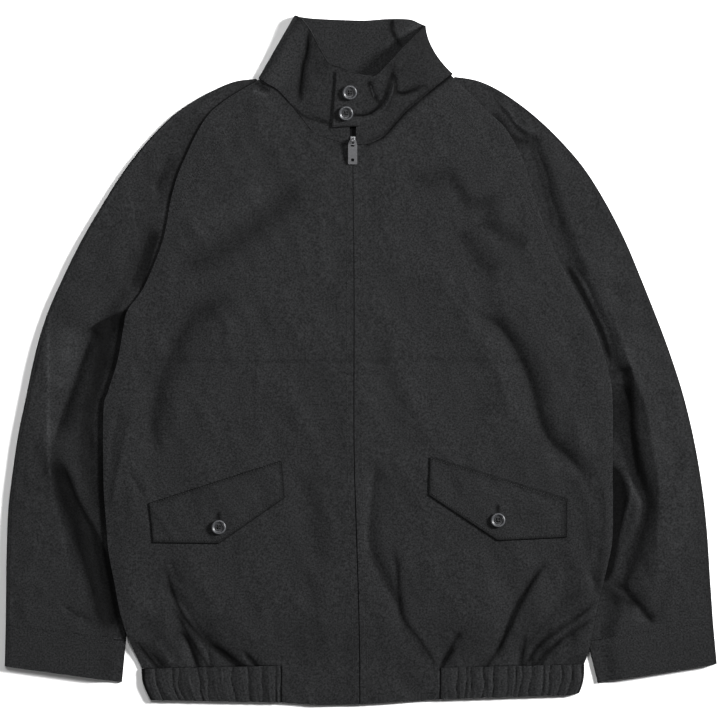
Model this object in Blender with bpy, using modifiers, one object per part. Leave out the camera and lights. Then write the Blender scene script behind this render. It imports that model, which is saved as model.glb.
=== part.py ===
"""Harrington jacket laid flat on its back, with its zip closed: one object for each sewn or metal piece.

The frame: the floor is z = 0, +Y runs up to the collar, +Z up from the floor and +X to the wearer's left.
Sides are the wearer's. Tables and sizes are in millimetres, and MM turns them into Blender's metres.
"""

import math

import bmesh
import bpy
from mathutils import Vector

MM = 0.001

# ---- driving dimensions, in millimetres ----
CLOTH = 1.2            # one layer of shell cloth with its lining
BAND_CLOTH = 1.6       # the hem band is doubled over its elastic
CUFF_CLOTH = 1.4       # the cuffs are doubled and pressed
COLLAR_CLOTH = 1.8     # collar and tab are doubled over an interlining
SEAM = 0.3             # gap between pieces at a seam
FOLDED = 3.2           # height of a tube's two layers where it folds flat
FRONT_PUFF = 6.0       # how far trapped air lifts the fronts off the back
HEM_PUFF = 0.35        # share of that puff left at the hem
HEM_RISE = (-372, 70)  # y where the puff starts to grow from the hem, and how far up it is full
SLEEVE_CROWN = 6.5     # how far the sleeves' upper layer stands over their folded edge
BUTTON_RADIUS = 8.8
BUTTON_THICK = 3.0
BUTTON_HOLE_RADIUS = 1.0
BUTTON_SIDES = 20
BUTTON_HOLE_SPACING = 2.7
GATHER_DEPTH = 1.3     # how far a gather's groove sinks into the hem band
BAND_TOP = 5.8         # z of the gathered parts' upper face, level with the grooves' shoulders
BAND_FOLD = 2.4        # radius of the band's folds at the sides
ZIP_TAPE_WIDTH = 12.0
ZIP_TAPE_THICK = 1.0
ZIP_CHAIN = 0.9        # from the zip's centre line to the edge of a front
PULL_LENGTH = 29.0
PULL_WIDTH = 11.0
PULL_THICK = 1.3
PULL_TILT = math.radians(8.0)

# Edge of the body, from the neck down the raglan seam and the side seam to the hem seam: x, y
BODY_EDGE = {
    "right": [(-122, 336), (-179, 298), (-212, 239), (-226, 198), (-237, 144), (-259, 89),
              (-279, 60), (-284, 39), (-291, 0), (-302, -36), (-308, -60), (-308, -144),
              (-305, -193), (-302, -229), (-295, -266), (-288, -303), (-278, -334), (-262, -369)],
    "left": [(109, 341), (153, 298), (176, 275), (197, 234), (212, 184), (232, 132),
             (251, 96), (275, 52), (284, 30), (297, -12), (302, -48), (302, -144),
             (302, -210), (296, -246), (284, -294), (275, -342), (268, -364)],
}

# Front neck seam, from the raglan seam to the zip: x, y
NECK_EDGE = {
    "right": [(-122, 336), (-97, 321), (-76, 297), (-56, 272), (-21, 259.6), (-12.3, 257.4)],
    "left": [(109, 341), (86, 323), (55, 297), (28, 267), (8, 258), (-6.3, 257.4)],
}

# Stations down each sleeve: outer fold x, y and inner edge x, y.
# The inner edge is the raglan seam down to the underarm, and the tube's inner fold below it.
SLEEVE_ROWS = {
    "right": [(-125, 337.6, -118.5, 326.5), (-150, 334.6, -138, 314), (-175, 324.5, -158, 301), (-200, 311, -176, 285),
              (-228, 291, -190, 263), (-258, 260, -203, 236), (-286, 224, -215, 205), (-313, 181, -224, 170),
              (-335, 143, -231, 137), (-355, 103, -244, 104), (-372, 65, -262, 75), (-383, 34, -277.5, 50),
              (-392, 0, -283.5, 21), (-402, -48, -282, -22), (-411, -92, -280.5, -72), (-418, -140, -280, -125),
              (-422.5, -180, -280, -175), (-424.3, -228, -280, -225), (-425, -270, -280, -273),
              (-425.3, -300, -280.5, -312), (-425.5, -317.3, -281.2, -334.7)],
    "left": [(113, 340, 106, 330.5), (138, 336, 128, 316), (161, 326.5, 146, 297), (186, 310.7, 163, 275),
             (212, 290.2, 179, 252), (240, 263.2, 190, 225), (268.3, 230, 200, 196), (294.4, 188.5, 210, 164),
             (317.4, 143.5, 224, 132), (336.3, 98.5, 243, 99), (353.3, 56, 262, 70), (365.2, 25, 274.5, 46),
             (375.7, -5, 284, 19), (386.7, -40, 281.5, -16), (397.2, -82, 274, -60), (405.2, -123, 270, -115),
             (411.5, -165, 269, -170), (416, -210, 269, -225), (419.2, -260, 269.5, -275),
             (421.6, -295, 270.5, -313), (422.8, -313.4, 272, -335.3)],
}
UNDERARM = 11          # the row where the sleeve closes into a tube
CUFF_HEM = {"right": (-426.6, -366.8, -286.2, -386.0), "left": (427.4, -364.0, 284.5, -386.5)}

# How far the body's side is lifted on to the sleeve: y, share of the full lift
SIDE_LIFT = {
    "right": [(72, 0), (48, 1), (-328, 1), (-362, 0)],
    "left": [(68, 0), (44, 1), (-350, 1), (-369, 0)],
}

# Hem: the seam above the gathered band, and the band's lower edge: x, y
HEM_SEAM = [(-270, -369.6), (-95, -366), (95, -368.5), (276, -364)]
HEM_EDGE = [(-262, -400), (-251, -407.5), (-95, -410), (-51, -413.5), (0, -412.5), (95, -406.3),
            (253, -401), (266, -398.5)]
BAND_DOWNS = (0.0, 0.4, 0.75, 1.0)  # shares of the band's width, from its seam to its hem
FACING_EDGE = 95.4     # half the width of the plain, ungathered hem at the zip
BAND_CORNER = {"right": (-262.5, -252), "left": (268.5, 262)}  # x of the band's fold at the seam and at the hem

# x of the grooves between the gathers, from the side fold to the plain hem
GATHERS = {
    "right": [-246, -225, -219, -194, -184, -153, -135, -118, -101.5],
    "left": [254, 240.5, 228.5, 220, 204.5, 194, 185.5, 176, 160, 148, 132.5, 126.5, 116],
}

ZIP_LINE = [(-9.6, 280), (-9.3, 257), (-8.8, 204), (-8.2, 144), (-7.8, 84), (-7.8, -96), (-6.6, -144),
            (-5.4, -192), (-4.2, -240), (-2.4, -288), (-1.8, -336), (-0.6, -378), (-0.5, -414)]

# Folds of the fronts: path, half width, depth (a ridge is negative)
FRONT_FOLDS = {
    "right": [
        ([(-232, -250), (-224, -276), (-187, -330), (-141, -367), (-130, -385)], 10, 3.6),
        ([(-225, -305), (-196, -366), (-192, -380)], 5, 2.0),
        ([(-268, -328), (-239, -367), (-232, -380)], 5, 1.6),
        ([(-75, 215), (-151, 156), (-235, 72)], 24, 3.0),
        ([(-230, 20), (-253, -120), (-250, -150)], 13, 2.6),
        ([(-73, -130), (-49, -258)], 14, 1.4),
    ],
    "left": [
        ([(135, 75), (160, 48), (197, 0), (213, -46), (226, -88), (262, -128), (258, -185)], 13, 4.6),
        ([(10, 236), (95, 192), (175, 192)], 11, 2.6),
        ([(112, 152), (141, 118), (215, 106)], 11, 2.6),
        ([(228, -236), (191, -291), (157, -363), (150, -385)], 7, 3.2),
        ([(262, -280), (224, -330), (203, -360), (198, -380)], 9, 2.4),
        ([(122, -325), (95, -368)], 6, 1.8),
        ([(26, -90), (11, -234), (45, -290), (64, -340)], 8, 1.8),
    ],
}

# Folds of the sleeves' upper layer: path, half width, depth (a ridge is negative)
SLEEVE_FOLDS = {
    "right": [
        ([(-376, 60), (-374, 0), (-372, -108), (-349, -240), (-340, -270)], 9, -3.4),
        ([(-310, 45), (-325, 20), (-353, -113), (-315, -228), (-288, -305), (-284, -345)], 14, 6.0),
        ([(-180, 297), (-207, 283)], 7, 2.4),
        ([(-192, 275), (-222, 225), (-236, 175), (-246, 130)], 12, 3.2),
    ],
    "left": [
        ([(246, 130), (289, 96), (323, -3), (356, -168), (331, -264), (338, -300)], 9, -3.4),
        ([(262, 90), (311, -24), (335, -132), (349, -174), (323, -264), (300, -310)], 14, 6.0),
        ([(160, 297), (185, 267), (210, 256)], 9, 3.4),
        ([(222, 176), (262, 98)], 10, 2.0),
    ],
}

# Sections round the collar's outer face, from its right end at the zip, round the back, to its left end.
# base x, y, z, then top x, y, z. A base z of None stands for the level of the fronts' neck seam.
COLLAR_ROWS = [
    (-14.5, 258.6, None, -14.0, 347.0, 22.0),
    (-24.0, 261.2, None, -26.0, 351.5, 22.0),
    (-40.0, 266.6, None, -38.0, 356.0, 22.0),
    (-56.0, 272.8, None, -50.0, 376.0, 21.0),
    (-76.0, 297.9, None, -60.6, 396.0, 20.0),
    (-97.0, 322.1, None, -69.0, 407.0, 18.0),
    (-113.0, 332.2, None, -75.0, 412.0, 14.0),
    (-120.6, 337.6, 6.6, -78.6, 413.4, 8.0),
    (-122.0, 338.6, 3.4, -79.0, 413.5, 4.0),
    (-120.0, 336.2, 1.0, -77.4, 413.0, 1.0),
    (-116.0, 331.6, 0.0, -73.0, 412.0, 0.0),
    (-98.0, 326.2, 0.0, -57.0, 410.0, 0.0),
    (-50.0, 321.6, 0.0, -26.0, 408.4, 0.0),
    (-6.6, 320.3, 0.0, 5.4, 407.6, 0.0),
    (38.0, 321.9, 0.0, 32.0, 409.4, 0.0),
    (85.0, 329.0, 0.0, 58.0, 409.0, 0.0),
    (104.0, 336.4, 0.0, 70.0, 404.5, 0.0),
    (108.4, 341.0, 1.0, 75.6, 402.2, 1.2),
    (110.4, 343.6, 3.6, 77.8, 401.2, 5.0),
    (108.4, 342.8, 6.8, 77.0, 400.0, 10.0),
    (99.0, 335.2, None, 69.0, 392.5, 17.0),
    (85.5, 324.4, None, 59.0, 382.5, 21.0),
    (70.0, 311.4, None, 47.0, 370.0, 23.0),
    (54.4, 298.4, None, 34.0, 356.0, 23.0),
    (41.0, 283.2, None, 23.0, 344.5, 22.5),
    (27.4, 268.4, None, 13.0, 338.5, 22.0),
    (11.0, 260.2, None, 5.0, 340.0, 22.0),
    (-3.4, 258.6, None, -3.0, 343.0, 22.0),
]
# How far the collar's left side curves in between its base and its top: row number, mm
COLLAR_WAIST = [(14, 0), (16, 6), (18, 8), (20, 4), (22, 0)]
COLLAR_FOLDS = [
    ([(-60, 398), (-65, 369), (-70, 315), (-69, 300)], 5, 4.5),
    ([(40, 352), (33, 312), (19, 297), (0, 293)], 6, 4.5),
]

# Neck tab: its corners, x, y: low right, low left, high left and high right
TAB_CORNERS = [(-34, 279), (14, 281), (18, 340), (-29, 345)]
TAB_GAP = 1.3          # the tab's underside over the collar's slope
NECK_SEAM_Z = 9.6      # z of the collar's outer face at the fronts' neck seam
NECK_SLOPE = (22.0 - NECK_SEAM_Z) / (347 - 258)  # rise of the collar beside the zip, for each mm of y
TAB_BUTTONS = {"upper": (-13.0, 320.3), "lower": (-17.6, 295.6)}

# Pocket flaps: the sewn edge, then the free edge, x, y from the side seam's end to the zip's end
FLAPS = {
    "right": {"sewn": [(-253.5, -171), (-94.5, -120)],
              "free": [(-248.5, -218.5), (-169.5, -219.5), (-91, -165)], "button": (-170, -200)},
    "left": {"sewn": [(247.8, -167), (83.4, -116)],
             "free": [(247.3, -212), (164.6, -216), (82.1, -161.6)], "button": (164.6, -191.6)},
}
FLAP_CLOTH = 1.6
FLAP_GAP = 0.5         # a flap's underside over its front

SLIDER_Y = 262.8
SLIDER_SIZE = (6.4, 11.6, 2.6)
SLIDER_FLOOR = 9.3     # z of the slider's underside
BAIL_INNER = 1.6
BAIL_OUTER = 3.2
BAIL_WIDTH = 2.4
HINGE_Z = SLIDER_FLOOR + SLIDER_SIZE[2] + 1.9  # the pull's axis lies across the middle of the slider

COLOURS = {
    "cloth": ((0.030, 0.031, 0.032, 1), 0.9, 0.0),
    "button": ((0.045, 0.045, 0.047, 1), 0.35, 0.0),
    "zip_tape": ((0.012, 0.012, 0.013, 1), 0.85, 0.0),
    "metal": ((0.42, 0.42, 0.43, 1), 0.35, 1.0),
}
FACING = {"right": 1, "left": -1}  # direction of the zip, seen from each side


# ---- curves, heights and folds ----
def smooth(share):
    share = min(max(share, 0.0), 1.0)
    return share * share * (3 - 2 * share)


def rounded(share):
    """A quarter circle's height over its foot."""
    return math.sqrt(1 - (1 - min(max(share, 0.0), 1.0)) ** 2)


def between(start, end, share):
    return tuple(a + (b - a) * share for a, b in zip(start, end))


def spline(rows, place):
    """Catmull-Rom through the rows of a table, at a place from 0 to the last row's number."""
    last = len(rows) - 1
    index = min(int(place), last - 1)
    t = place - index
    a, b, c, d = (rows[min(max(index + k, 0), last)] for k in (-1, 0, 1, 2))
    return tuple(
        0.5 * (2 * q + (r - p) * t + (2 * p - 5 * q + 4 * r - s) * t * t + (3 * q - p - 3 * r + s) * t ** 3)
        for p, q, r, s in zip(a, b, c, d)
    )


def at_share(points, share):
    """The point of a smooth curve through the points, at a share of the polyline's length."""
    lengths = [math.dist(a, b) for a, b in zip(points, points[1:])]
    target = share * sum(lengths)
    for index, length in enumerate(lengths):
        if target <= length or index == len(lengths) - 1:
            return spline(points, index + min(target / length, 1.0))
        target -= length
    return points[-1]


def across(rows, y):
    """x of a line whose rows run down in y, at this y."""
    if y >= rows[0][1]:
        return rows[0][0]
    for (x0, y0), (x1, y1) in zip(rows, rows[1:]):
        if y >= y1:
            return x0 + (x1 - x0) * (y0 - y) / (y0 - y1)
    return rows[-1][0]


def along(rows, x):
    """y of a line whose rows run up in x, at this x."""
    if x <= rows[0][0]:
        return rows[0][1]
    for (x0, y0), (x1, y1) in zip(rows, rows[1:]):
        if x <= x1:
            return y0 + (y1 - y0) * (x - x0) / (x1 - x0)
    return rows[-1][1]


def fold_depth(folds, x, y):
    """How far the folds near a point press the cloth down. Each fold fades out at its two ends."""
    total = 0.0
    for path, width, depth in folds:
        nearest, share, run = 1e9, 0.0, 0.0
        length = sum(math.dist(a, b) for a, b in zip(path, path[1:]))
        for (x0, y0), (x1, y1) in zip(path, path[1:]):
            step = math.dist((x0, y0), (x1, y1))
            t = ((x - x0) * (x1 - x0) + (y - y0) * (y1 - y0)) / step ** 2
            t = min(max(t, 0.0), 1.0)
            gap = math.dist((x, y), (x0 + (x1 - x0) * t, y0 + (y1 - y0) * t))
            if gap < nearest:
                nearest, share = gap, (run + t * step) / length
            run += step
        fade = smooth(min(share, 1 - share) / 0.2)
        total += depth * fade * math.exp(-((nearest / width) ** 2))
    return total


def edge_distance(side, x, y):
    """How far a point lies inside the body's edge, measured level with the floor."""
    return (x - across(BODY_EDGE[side], y)) * FACING[side]


def sleeve_inner_x(side, y):
    """x of the sleeve's inner fold under the body."""
    rows = [row[2:] for row in SLEEVE_ROWS[side][UNDERARM:]] + [CUFF_HEM[side][2:]]
    return across(rows, y)


def side_lift(side, x, y):
    """How high the body's back layer stands where it lies on the sleeve."""
    rows = [(share, level) for level, share in SIDE_LIFT[side]]
    if y >= rows[0][1] or y <= rows[-1][1]:
        return 0.0
    full = (FOLDED + 2 * SEAM) * smooth(across(rows, y))
    cover = max((sleeve_inner_x(side, y) - across(BODY_EDGE[side], y)) * FACING[side], 0.0)
    return full * (1 - smooth((edge_distance(side, x, y) - cover - 3) / 30))


def back_height(x, y):
    """z of the back's underside."""
    return max(side_lift("right", x, y), side_lift("left", x, y))


def front_height(side, x, y):
    """z of a front's underside."""
    inside = max(edge_distance(side, x, y), 0.0)
    resting = back_height(x, y) + CLOTH + 2 * SEAM
    raglan = (FOLDED + SEAM - CLOTH) * smooth((y - 44) / 32)
    share = HEM_PUFF + (1 - HEM_PUFF) * smooth((y - HEM_RISE[0]) / HEM_RISE[1])
    puff = raglan + (FRONT_PUFF * share - raglan) * (1 - math.exp(-inside / 20))
    folds = fold_depth(FRONT_FOLDS[side], x, y) * smooth(inside / 14)
    return resting + max(puff - folds, min(raglan, puff))


def front_top(side, x, y):
    return front_height(side, x, y) + CLOTH


def zip_x(y):
    return across(ZIP_LINE, y)


def neck_slope(y):
    """z of the collar's outer face beside the zip, above the neck seam."""
    return NECK_SEAM_Z + (y - 258) * NECK_SLOPE


# ---- meshes ----
def clear_scene():
    for obj in list(bpy.data.objects):
        bpy.data.objects.remove(obj)


def collection_named(name):
    made = bpy.data.collections.new(name)
    bpy.context.scene.collection.children.link(made)
    return made


def material_of(name, colour):
    base, roughness, metallic = COLOURS[colour]
    made = bpy.data.materials.new(name)
    made.use_nodes = True
    shader = made.node_tree.nodes["Principled BSDF"]
    shader.inputs["Base Color"].default_value = base
    shader.inputs["Roughness"].default_value = roughness
    shader.inputs["Metallic"].default_value = metallic
    return made


def add_object(name, data, colour):
    made = bpy.data.objects.new(name, data)
    data.materials.append(material_of(name, colour))
    PARTS.objects.link(made)
    return made


def turn_outwards(work, grow):
    """Turns the faces up on an open sheet, and outwards on a flat tube, whose lower layer then looks down."""
    work.normal_update()
    middle = 0.0
    if grow == "inwards":
        middle = sum(v.co.z for v in work.verts) / len(work.verts)
    facing = 0.0
    for face in work.faces:
        weight = face.calc_center_median().z - middle if grow == "inwards" else 1.0
        facing += face.normal.z * face.calc_area() * weight
    if facing < 0:
        bmesh.ops.reverse_faces(work, faces=work.faces)


def sheet(name, grid, thickness, grow, colour="cloth", skip=None):
    """A wall of cloth: a grid of points in millimetres, thickened upwards, downwards or into its own tube."""
    mesh = bpy.data.meshes.new(name)
    work = bmesh.new()
    points = [[work.verts.new(Vector(p) * MM) for p in row] for row in grid]
    for i in range(len(grid) - 1):
        for j in range(len(grid[0]) - 1):
            if skip and skip(i, j):
                continue
            work.faces.new((points[i][j], points[i + 1][j], points[i + 1][j + 1], points[i][j + 1]))
    loose = [v for v in work.verts if not v.link_faces]
    bmesh.ops.delete(work, geom=loose, context="VERTS")
    bmesh.ops.remove_doubles(work, verts=work.verts, dist=0.01 * MM)
    turn_outwards(work, grow)
    work.to_mesh(mesh)
    work.free()
    mesh.shade_smooth()
    made = add_object(name, mesh, colour)
    wall = made.modifiers.new("wall", "SOLIDIFY")
    wall.thickness = thickness * MM
    wall.offset = 1 if grow == "up" else -1
    wall.use_even_offset = True
    return made


def patch(top, bottom, left, right, columns, rows):
    """Points between four smooth edges, at these shares of their lengths."""
    tops = [at_share(top, u) for u in columns]
    bottoms = [at_share(bottom, u) for u in columns]
    lefts = [at_share(left, v) for v in rows]
    rights = [at_share(right, v) for v in rows]
    grid = []
    for v, a, b in zip(rows, lefts, rights):
        line = []
        for u, c, d in zip(columns, tops, bottoms):
            corners = [(1 - u) * ((1 - v) * left[0][k] + v * left[-1][k])
                       + u * ((1 - v) * right[0][k] + v * right[-1][k]) for k in (0, 1)]
            line.append(tuple((1 - u) * a[k] + u * b[k] + (1 - v) * c[k] + v * d[k] - corners[k]
                              for k in (0, 1)))
        grid.append(line)
    return grid


# ---- body ----
def back_edge(side):
    """The back's edge: beside the sleeve's raglan seam, then the side seam."""
    inner = [spline(SLEEVE_ROWS[side], row)[2:] for row in range(UNDERARM + 1)]
    seam = []
    for number, (x, y) in enumerate(inner):
        ahead = inner[min(number + 1, UNDERARM)]
        behind = inner[max(number - 1, 0)]
        run = Vector((ahead[0] - behind[0], ahead[1] - behind[1])).normalized()
        gap = 1.4 * SEAM if number < UNDERARM else 5 * SEAM
        seam.append((x - run.y * gap * FACING[side], y + run.x * gap * FACING[side]))
    below = [point for point in BODY_EDGE[side] if point[1] < seam[-1][1] - 8]
    return seam + below


def make_back():
    right, left = back_edge("right"), back_edge("left")
    neck = [right[0], (-98, 325.4), (-50, 320.8), (-6.6, 319.5), (38, 321.1), (85, 328.2), left[0]]
    half = [0.0, 0.012, 0.03, 0.055, 0.09, 0.15, 0.25, 0.38]
    columns = half + [0.5] + [1 - u for u in reversed(half)]
    downs = [0.04, 0.09, 0.14, 0.22, 0.32, 0.42, 0.52, 0.62, 0.72, 0.82, 0.88, 0.92, 0.95, 0.975, 1.0]
    ends = list(zip(right[:UNDERARM + 1], left[:UNDERARM + 1]))
    ends += [(at_share(right[UNDERARM:], down), at_share(left[UNDERARM:], down)) for down in downs]
    grid = []
    for row, (start, end) in enumerate(ends):
        curved = 1 - smooth(2.2 * row / (len(ends) - 1))
        line = []
        for u in columns:
            x = start[0] + (end[0] - start[0]) * u
            y = start[1] + (end[1] - start[1]) * u
            chord = neck[0][1] + (neck[-1][1] - neck[0][1]) * u
            y += (along(neck, neck[0][0] + (neck[-1][0] - neck[0][0]) * u) - chord) * curved
            if row == len(ends) - 1:
                y = along(HEM_SEAM, x) + SEAM
            line.append((x, y, back_height(x, y)))
        grid.append(line)
    sheet("back", grid, CLOTH, "up")


def front_grid(side):
    """x and y of a front's points, with the row and column where its plain hem begins."""
    seam = [(x, y + SEAM) for x, y in HEM_SEAM]
    start = BODY_EDGE[side][-1]
    direction = FACING[side]
    facing_x = -direction * FACING_EDGE
    seam_y = along(seam, facing_x)
    zip_end = (zip_x(-368) - direction * ZIP_CHAIN, along(seam, zip_x(-368)))
    bottom = [(start[0], along(seam, start[0])), ((start[0] + facing_x) / 2, along(seam, (start[0] + facing_x) / 2)),
              (facing_x, seam_y), zip_end]
    levels = (257.4, 204, 84, -96, -192, -288, -368)
    zip_edge = [(zip_x(level) - direction * ZIP_CHAIN, level) for level in levels[:-1]] + [zip_end]
    edge = BODY_EDGE[side][:-1] + [bottom[0]]
    kink = (facing_x - start[0]) / (zip_end[0] - start[0])
    outer = [0.0, 0.012, 0.035, 0.07, 0.12, 0.18, 0.25, 0.32, 0.4, 0.5, 0.6]
    columns = [u * kink / 0.6 for u in outer[:-1]] + [kink]
    columns += [kink + (1 - kink) * share for share in (0.28, 0.56, 0.8, 1.0)]
    rows = [0.88 * number / 21 for number in range(22)] + [0.905, 0.93, 0.955, 0.978, 1.0]
    neck = NECK_EDGE[side][:-1] + [zip_edge[0]]
    grid = patch(neck, bottom, edge, zip_edge, columns, rows)
    seam_row = len(rows) - 1
    for down in (0.33, 0.66, 1.0):
        line = []
        for x, y in grid[seam_row]:
            hem = along(HEM_EDGE, x)
            line.append((x, y + (hem - y) * down))
        grid.append(line)
    return grid, seam_row, len(outer) - 1


def make_front(side):
    grid, seam_row, seam_column = front_grid(side)
    points = [[(x, y, front_height(side, x, y)) for x, y in row] for row in grid]
    sheet(f"front_{side}", points, CLOTH, "up",
          skip=lambda i, j: i >= seam_row and j < seam_column)


# ---- sleeves and cuffs ----
def sleeve_top(side, x, y, from_inner, from_outer, cover, width):
    """z of the sleeve's upper face."""
    crown = SLEEVE_CROWN * min(1.0, width / 110)
    lift = smooth((from_inner - cover - 5) / 26) * rounded(from_outer / 24)
    folds = fold_depth(SLEEVE_FOLDS[side], x, y) * smooth((from_inner - cover - 5) / 12) * smooth(from_outer / 8)
    return max(FOLDED + crown * lift - folds, FOLDED + 0.1 * lift)


def sleeve_ring(side, row, closed):
    """The outer face of a flat tube: inner edge, lower layer, outer fold, upper layer and back."""
    outer, inner = Vector(row[:2]), Vector(row[2:])
    width = (inner - outer).length
    inward = (inner - outer).normalized()
    radius = FOLDED / 2
    body_x = across(BODY_EDGE[side], inner.y)
    cover = max((inner.x - body_x) * FACING[side], 0.0) * abs(inward.x)
    cover += 3.0
    turn = [(math.sin(angle), math.cos(angle)) for angle in (math.radians(a) for a in (0, 45, 90, 135, 180))]
    ring = []

    def put(from_outer, z):
        spot = outer + inward * from_outer
        ring.append((spot.x, spot.y, z))

    if closed:
        put(width, radius)
        put(width - radius + radius * turn[1][0], radius - radius * turn[1][1])
    else:
        put(width, 0.0)
        put(width - 0.5, 0.0)
    put(width - radius, 0.0)
    for share in (0.75, 0.5, 0.25):
        put(radius + (width - 2 * radius) * share, 0.0)
    for reach, rise in turn:
        put(radius - radius * reach, radius - radius * rise)
    for share in (0.05, 0.13, 0.23, 0.33, 0.43, 0.52, 0.61, 0.7, 0.79, 0.88, 0.94):
        from_outer = radius + (width - 2 * radius) * share
        spot = outer + inward * from_outer
        put(from_outer, sleeve_top(side, spot.x, spot.y, width - from_outer, from_outer, cover, width))
    put(width - radius, FOLDED)
    if closed:
        put(width - radius + radius * turn[3][0], radius - radius * turn[3][1])
        put(width, radius)
    else:
        put(width - 0.5, FOLDED)
        put(width, FOLDED)
    return ring


def make_sleeve(side):
    rows = SLEEVE_ROWS[side]
    stations = list(range(UNDERARM + 1))
    stations += [UNDERARM + number / 2 for number in range(1, 2 * (len(rows) - 1 - UNDERARM) + 1)]
    grid = [sleeve_ring(side, spline(rows, place), place >= UNDERARM) for place in stations]
    sheet(f"sleeve_{side}", grid, CLOTH, "inwards")


def make_cuff(side):
    wrist, hem = SLEEVE_ROWS[side][-1], CUFF_HEM[side]
    seam_share = 2 * SEAM / math.dist(wrist[:2], hem[:2])
    rows = [between(wrist, hem, share) for share in (seam_share, 0.5, 1.0)]
    grid = [sleeve_ring(side, row, True) for row in rows]
    sheet(f"cuff_{side}", grid, CUFF_CLOTH, "inwards")


# ---- hem band ----
def gather_height(side, x):
    """z of a gathered part's upper face: a rounded bulge between every two grooves."""
    ends = [BAND_CORNER[side][0] + FACING[side] * BAND_FOLD] + GATHERS[side] + [band_inner_end(side)]
    for start, end in zip(ends, ends[1:]):
        share = (x - start) / (end - start)
        if share <= 1:
            bulge = GATHER_DEPTH * min(abs(end - start) / 14, 1.0)
            return BAND_TOP - GATHER_DEPTH + (GATHER_DEPTH + bulge) * math.sqrt(math.sin(math.pi * max(share, 0)))
    return BAND_TOP - GATHER_DEPTH


def band_inner_end(side):
    return -FACING[side] * (FACING_EDGE + SEAM + 0.1)


def band_side(side, down):
    """x of the band's side fold, at a share of the way from its seam to its hem."""
    at_seam, at_hem = BAND_CORNER[side]
    return at_seam + (at_hem - at_seam) * down ** 3


def band_column(xs, z):
    """Points down the band, one x and the same z for each of BAND_DOWNS."""
    points = []
    for x, down in zip(xs, BAND_DOWNS):
        top = along(HEM_SEAM, x) - SEAM
        points.append((x, top + (along(HEM_EDGE, x) - top) * down, z))
    return points


def band_front(side):
    """Columns of a gathered front part, from its side fold to its inner end."""
    starts = [band_side(side, down) + FACING[side] * BAND_FOLD for down in BAND_DOWNS]
    inner = band_inner_end(side)
    ends = [starts[0]] + GATHERS[side] + [inner]
    columns = []
    for start, end in zip(ends, ends[1:]):
        for part in (0.12, 0.5, 0.88, 1.0):
            x = start + (end - start) * part
            share = (x - starts[0]) / (inner - starts[0])
            columns.append(band_column([first + (inner - first) * share for first in starts], gather_height(side, x)))
    return columns


def band_fold(side):
    """Columns round the side fold, from the back up to the front."""
    columns = []
    for angle in (math.radians(a) for a in (0, 60, 120, 180)):
        reach = FACING[side] * BAND_FOLD * (1 - math.sin(angle))
        columns.append(band_column([band_side(side, down) + reach for down in BAND_DOWNS],
                                   BAND_FOLD * (1 - math.cos(angle))))
    return columns


def band_back():
    """Columns of the back part, from its right end to its left end."""
    columns = []
    for share in (0.08, 0.2, 0.35, 0.5, 0.65, 0.8, 0.92):
        ends = [(band_side("right", down) + BAND_FOLD, band_side("left", down) - BAND_FOLD) for down in BAND_DOWNS]
        columns.append(band_column([start + (end - start) * share for start, end in ends], 0.0))
    return columns


def make_hem_band():
    columns = band_front("right")[::-1] + band_fold("right")[::-1] + band_back()
    columns += band_fold("left") + band_front("left")
    sheet("hem_band", columns, BAND_CLOTH, "inwards")


# ---- collar and tab ----
def collar_point(place, up):
    """A point of the collar's outer face, at a row number and a share of its height."""
    rows = [row[:2] + (NECK_SEAM_Z if row[2] is None else row[2],) + row[3:] for row in COLLAR_ROWS]
    row = spline(rows, place)
    x, y, z = (base + (top - base) * up for base, top in zip(row[:3], row[3:]))
    x -= along(COLLAR_WAIST, place) * 4 * up * (1 - up)
    if z > 6:
        z -= fold_depth(COLLAR_FOLDS, x, y) * smooth((z - 6) / 6) * smooth(up / 0.2)
    return x, y, z


def make_collar():
    places = [number / 2 for number in range(2 * len(COLLAR_ROWS) - 1)]
    places = [place for place in places if place == int(place) or 3 < place < 5 or 20 < place < 25]
    ups = [number / 6 for number in range(7)]
    grid = [[collar_point(place, up) for up in ups] for place in places]
    sheet("collar", grid, COLLAR_CLOTH, "inwards")


def tab_point(share, up):
    """A point of the tab's underside: share runs to the wearer's left, and up along the zip."""
    low_right, low_left, high_left, high_right = TAB_CORNERS
    x, y = between(between(low_right, low_left, share), between(high_right, high_left, share), up)
    return x, y, neck_slope(y) + TAB_GAP


def make_neck_tab():
    grid = [[tab_point(i / 4, j / 5) for j in range(6)] for i in range(5)]
    sheet("neck_tab", grid, COLLAR_CLOTH, "up")


# ---- pockets ----
def flap_corner(side):
    """The share of a flap's length at which its free edge turns."""
    first, turn, last = (x for x, _ in FLAPS[side]["free"])
    return (turn - first) / (last - first)


def flap_point(side, share, down):
    """A point of a flap's underside: share runs along its sewn edge, and down from there to its free edge."""
    first, turn, last = FLAPS[side]["free"]
    corner = flap_corner(side)
    if share <= corner:
        free = between(first, turn, share / corner)
    else:
        free = between(turn, last, (share - corner) / (1 - corner))
    x, y = between(between(*FLAPS[side]["sewn"], share), free, down)
    return x, y, front_top(side, x, y) + FLAP_GAP


def make_flap(side):
    corner = flap_corner(side)
    shares = [corner * k / 5 for k in range(5)] + [corner + (1 - corner) * k / 5 for k in range(6)]
    grid = [[flap_point(side, share, down / 3) for down in range(4)] for share in shares]
    sheet(f"flap_{side}", grid, FLAP_CLOTH, "up")


# ---- buttons ----
def make_cutter(name, radius, height, location, rotation=(0, 0, 0), sides=12):
    mesh = bpy.data.meshes.new(name)
    work = bmesh.new()
    bmesh.ops.create_cone(work, cap_ends=True, segments=sides, radius1=radius * MM, radius2=radius * MM,
                          depth=height * MM)
    work.to_mesh(mesh)
    work.free()
    made = bpy.data.objects.new(name, mesh)
    made.location = Vector(location) * MM
    made.rotation_euler = rotation
    made.hide_render = True
    made.display_type = "WIRE"
    CUTTERS.objects.link(made)
    return made


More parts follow.
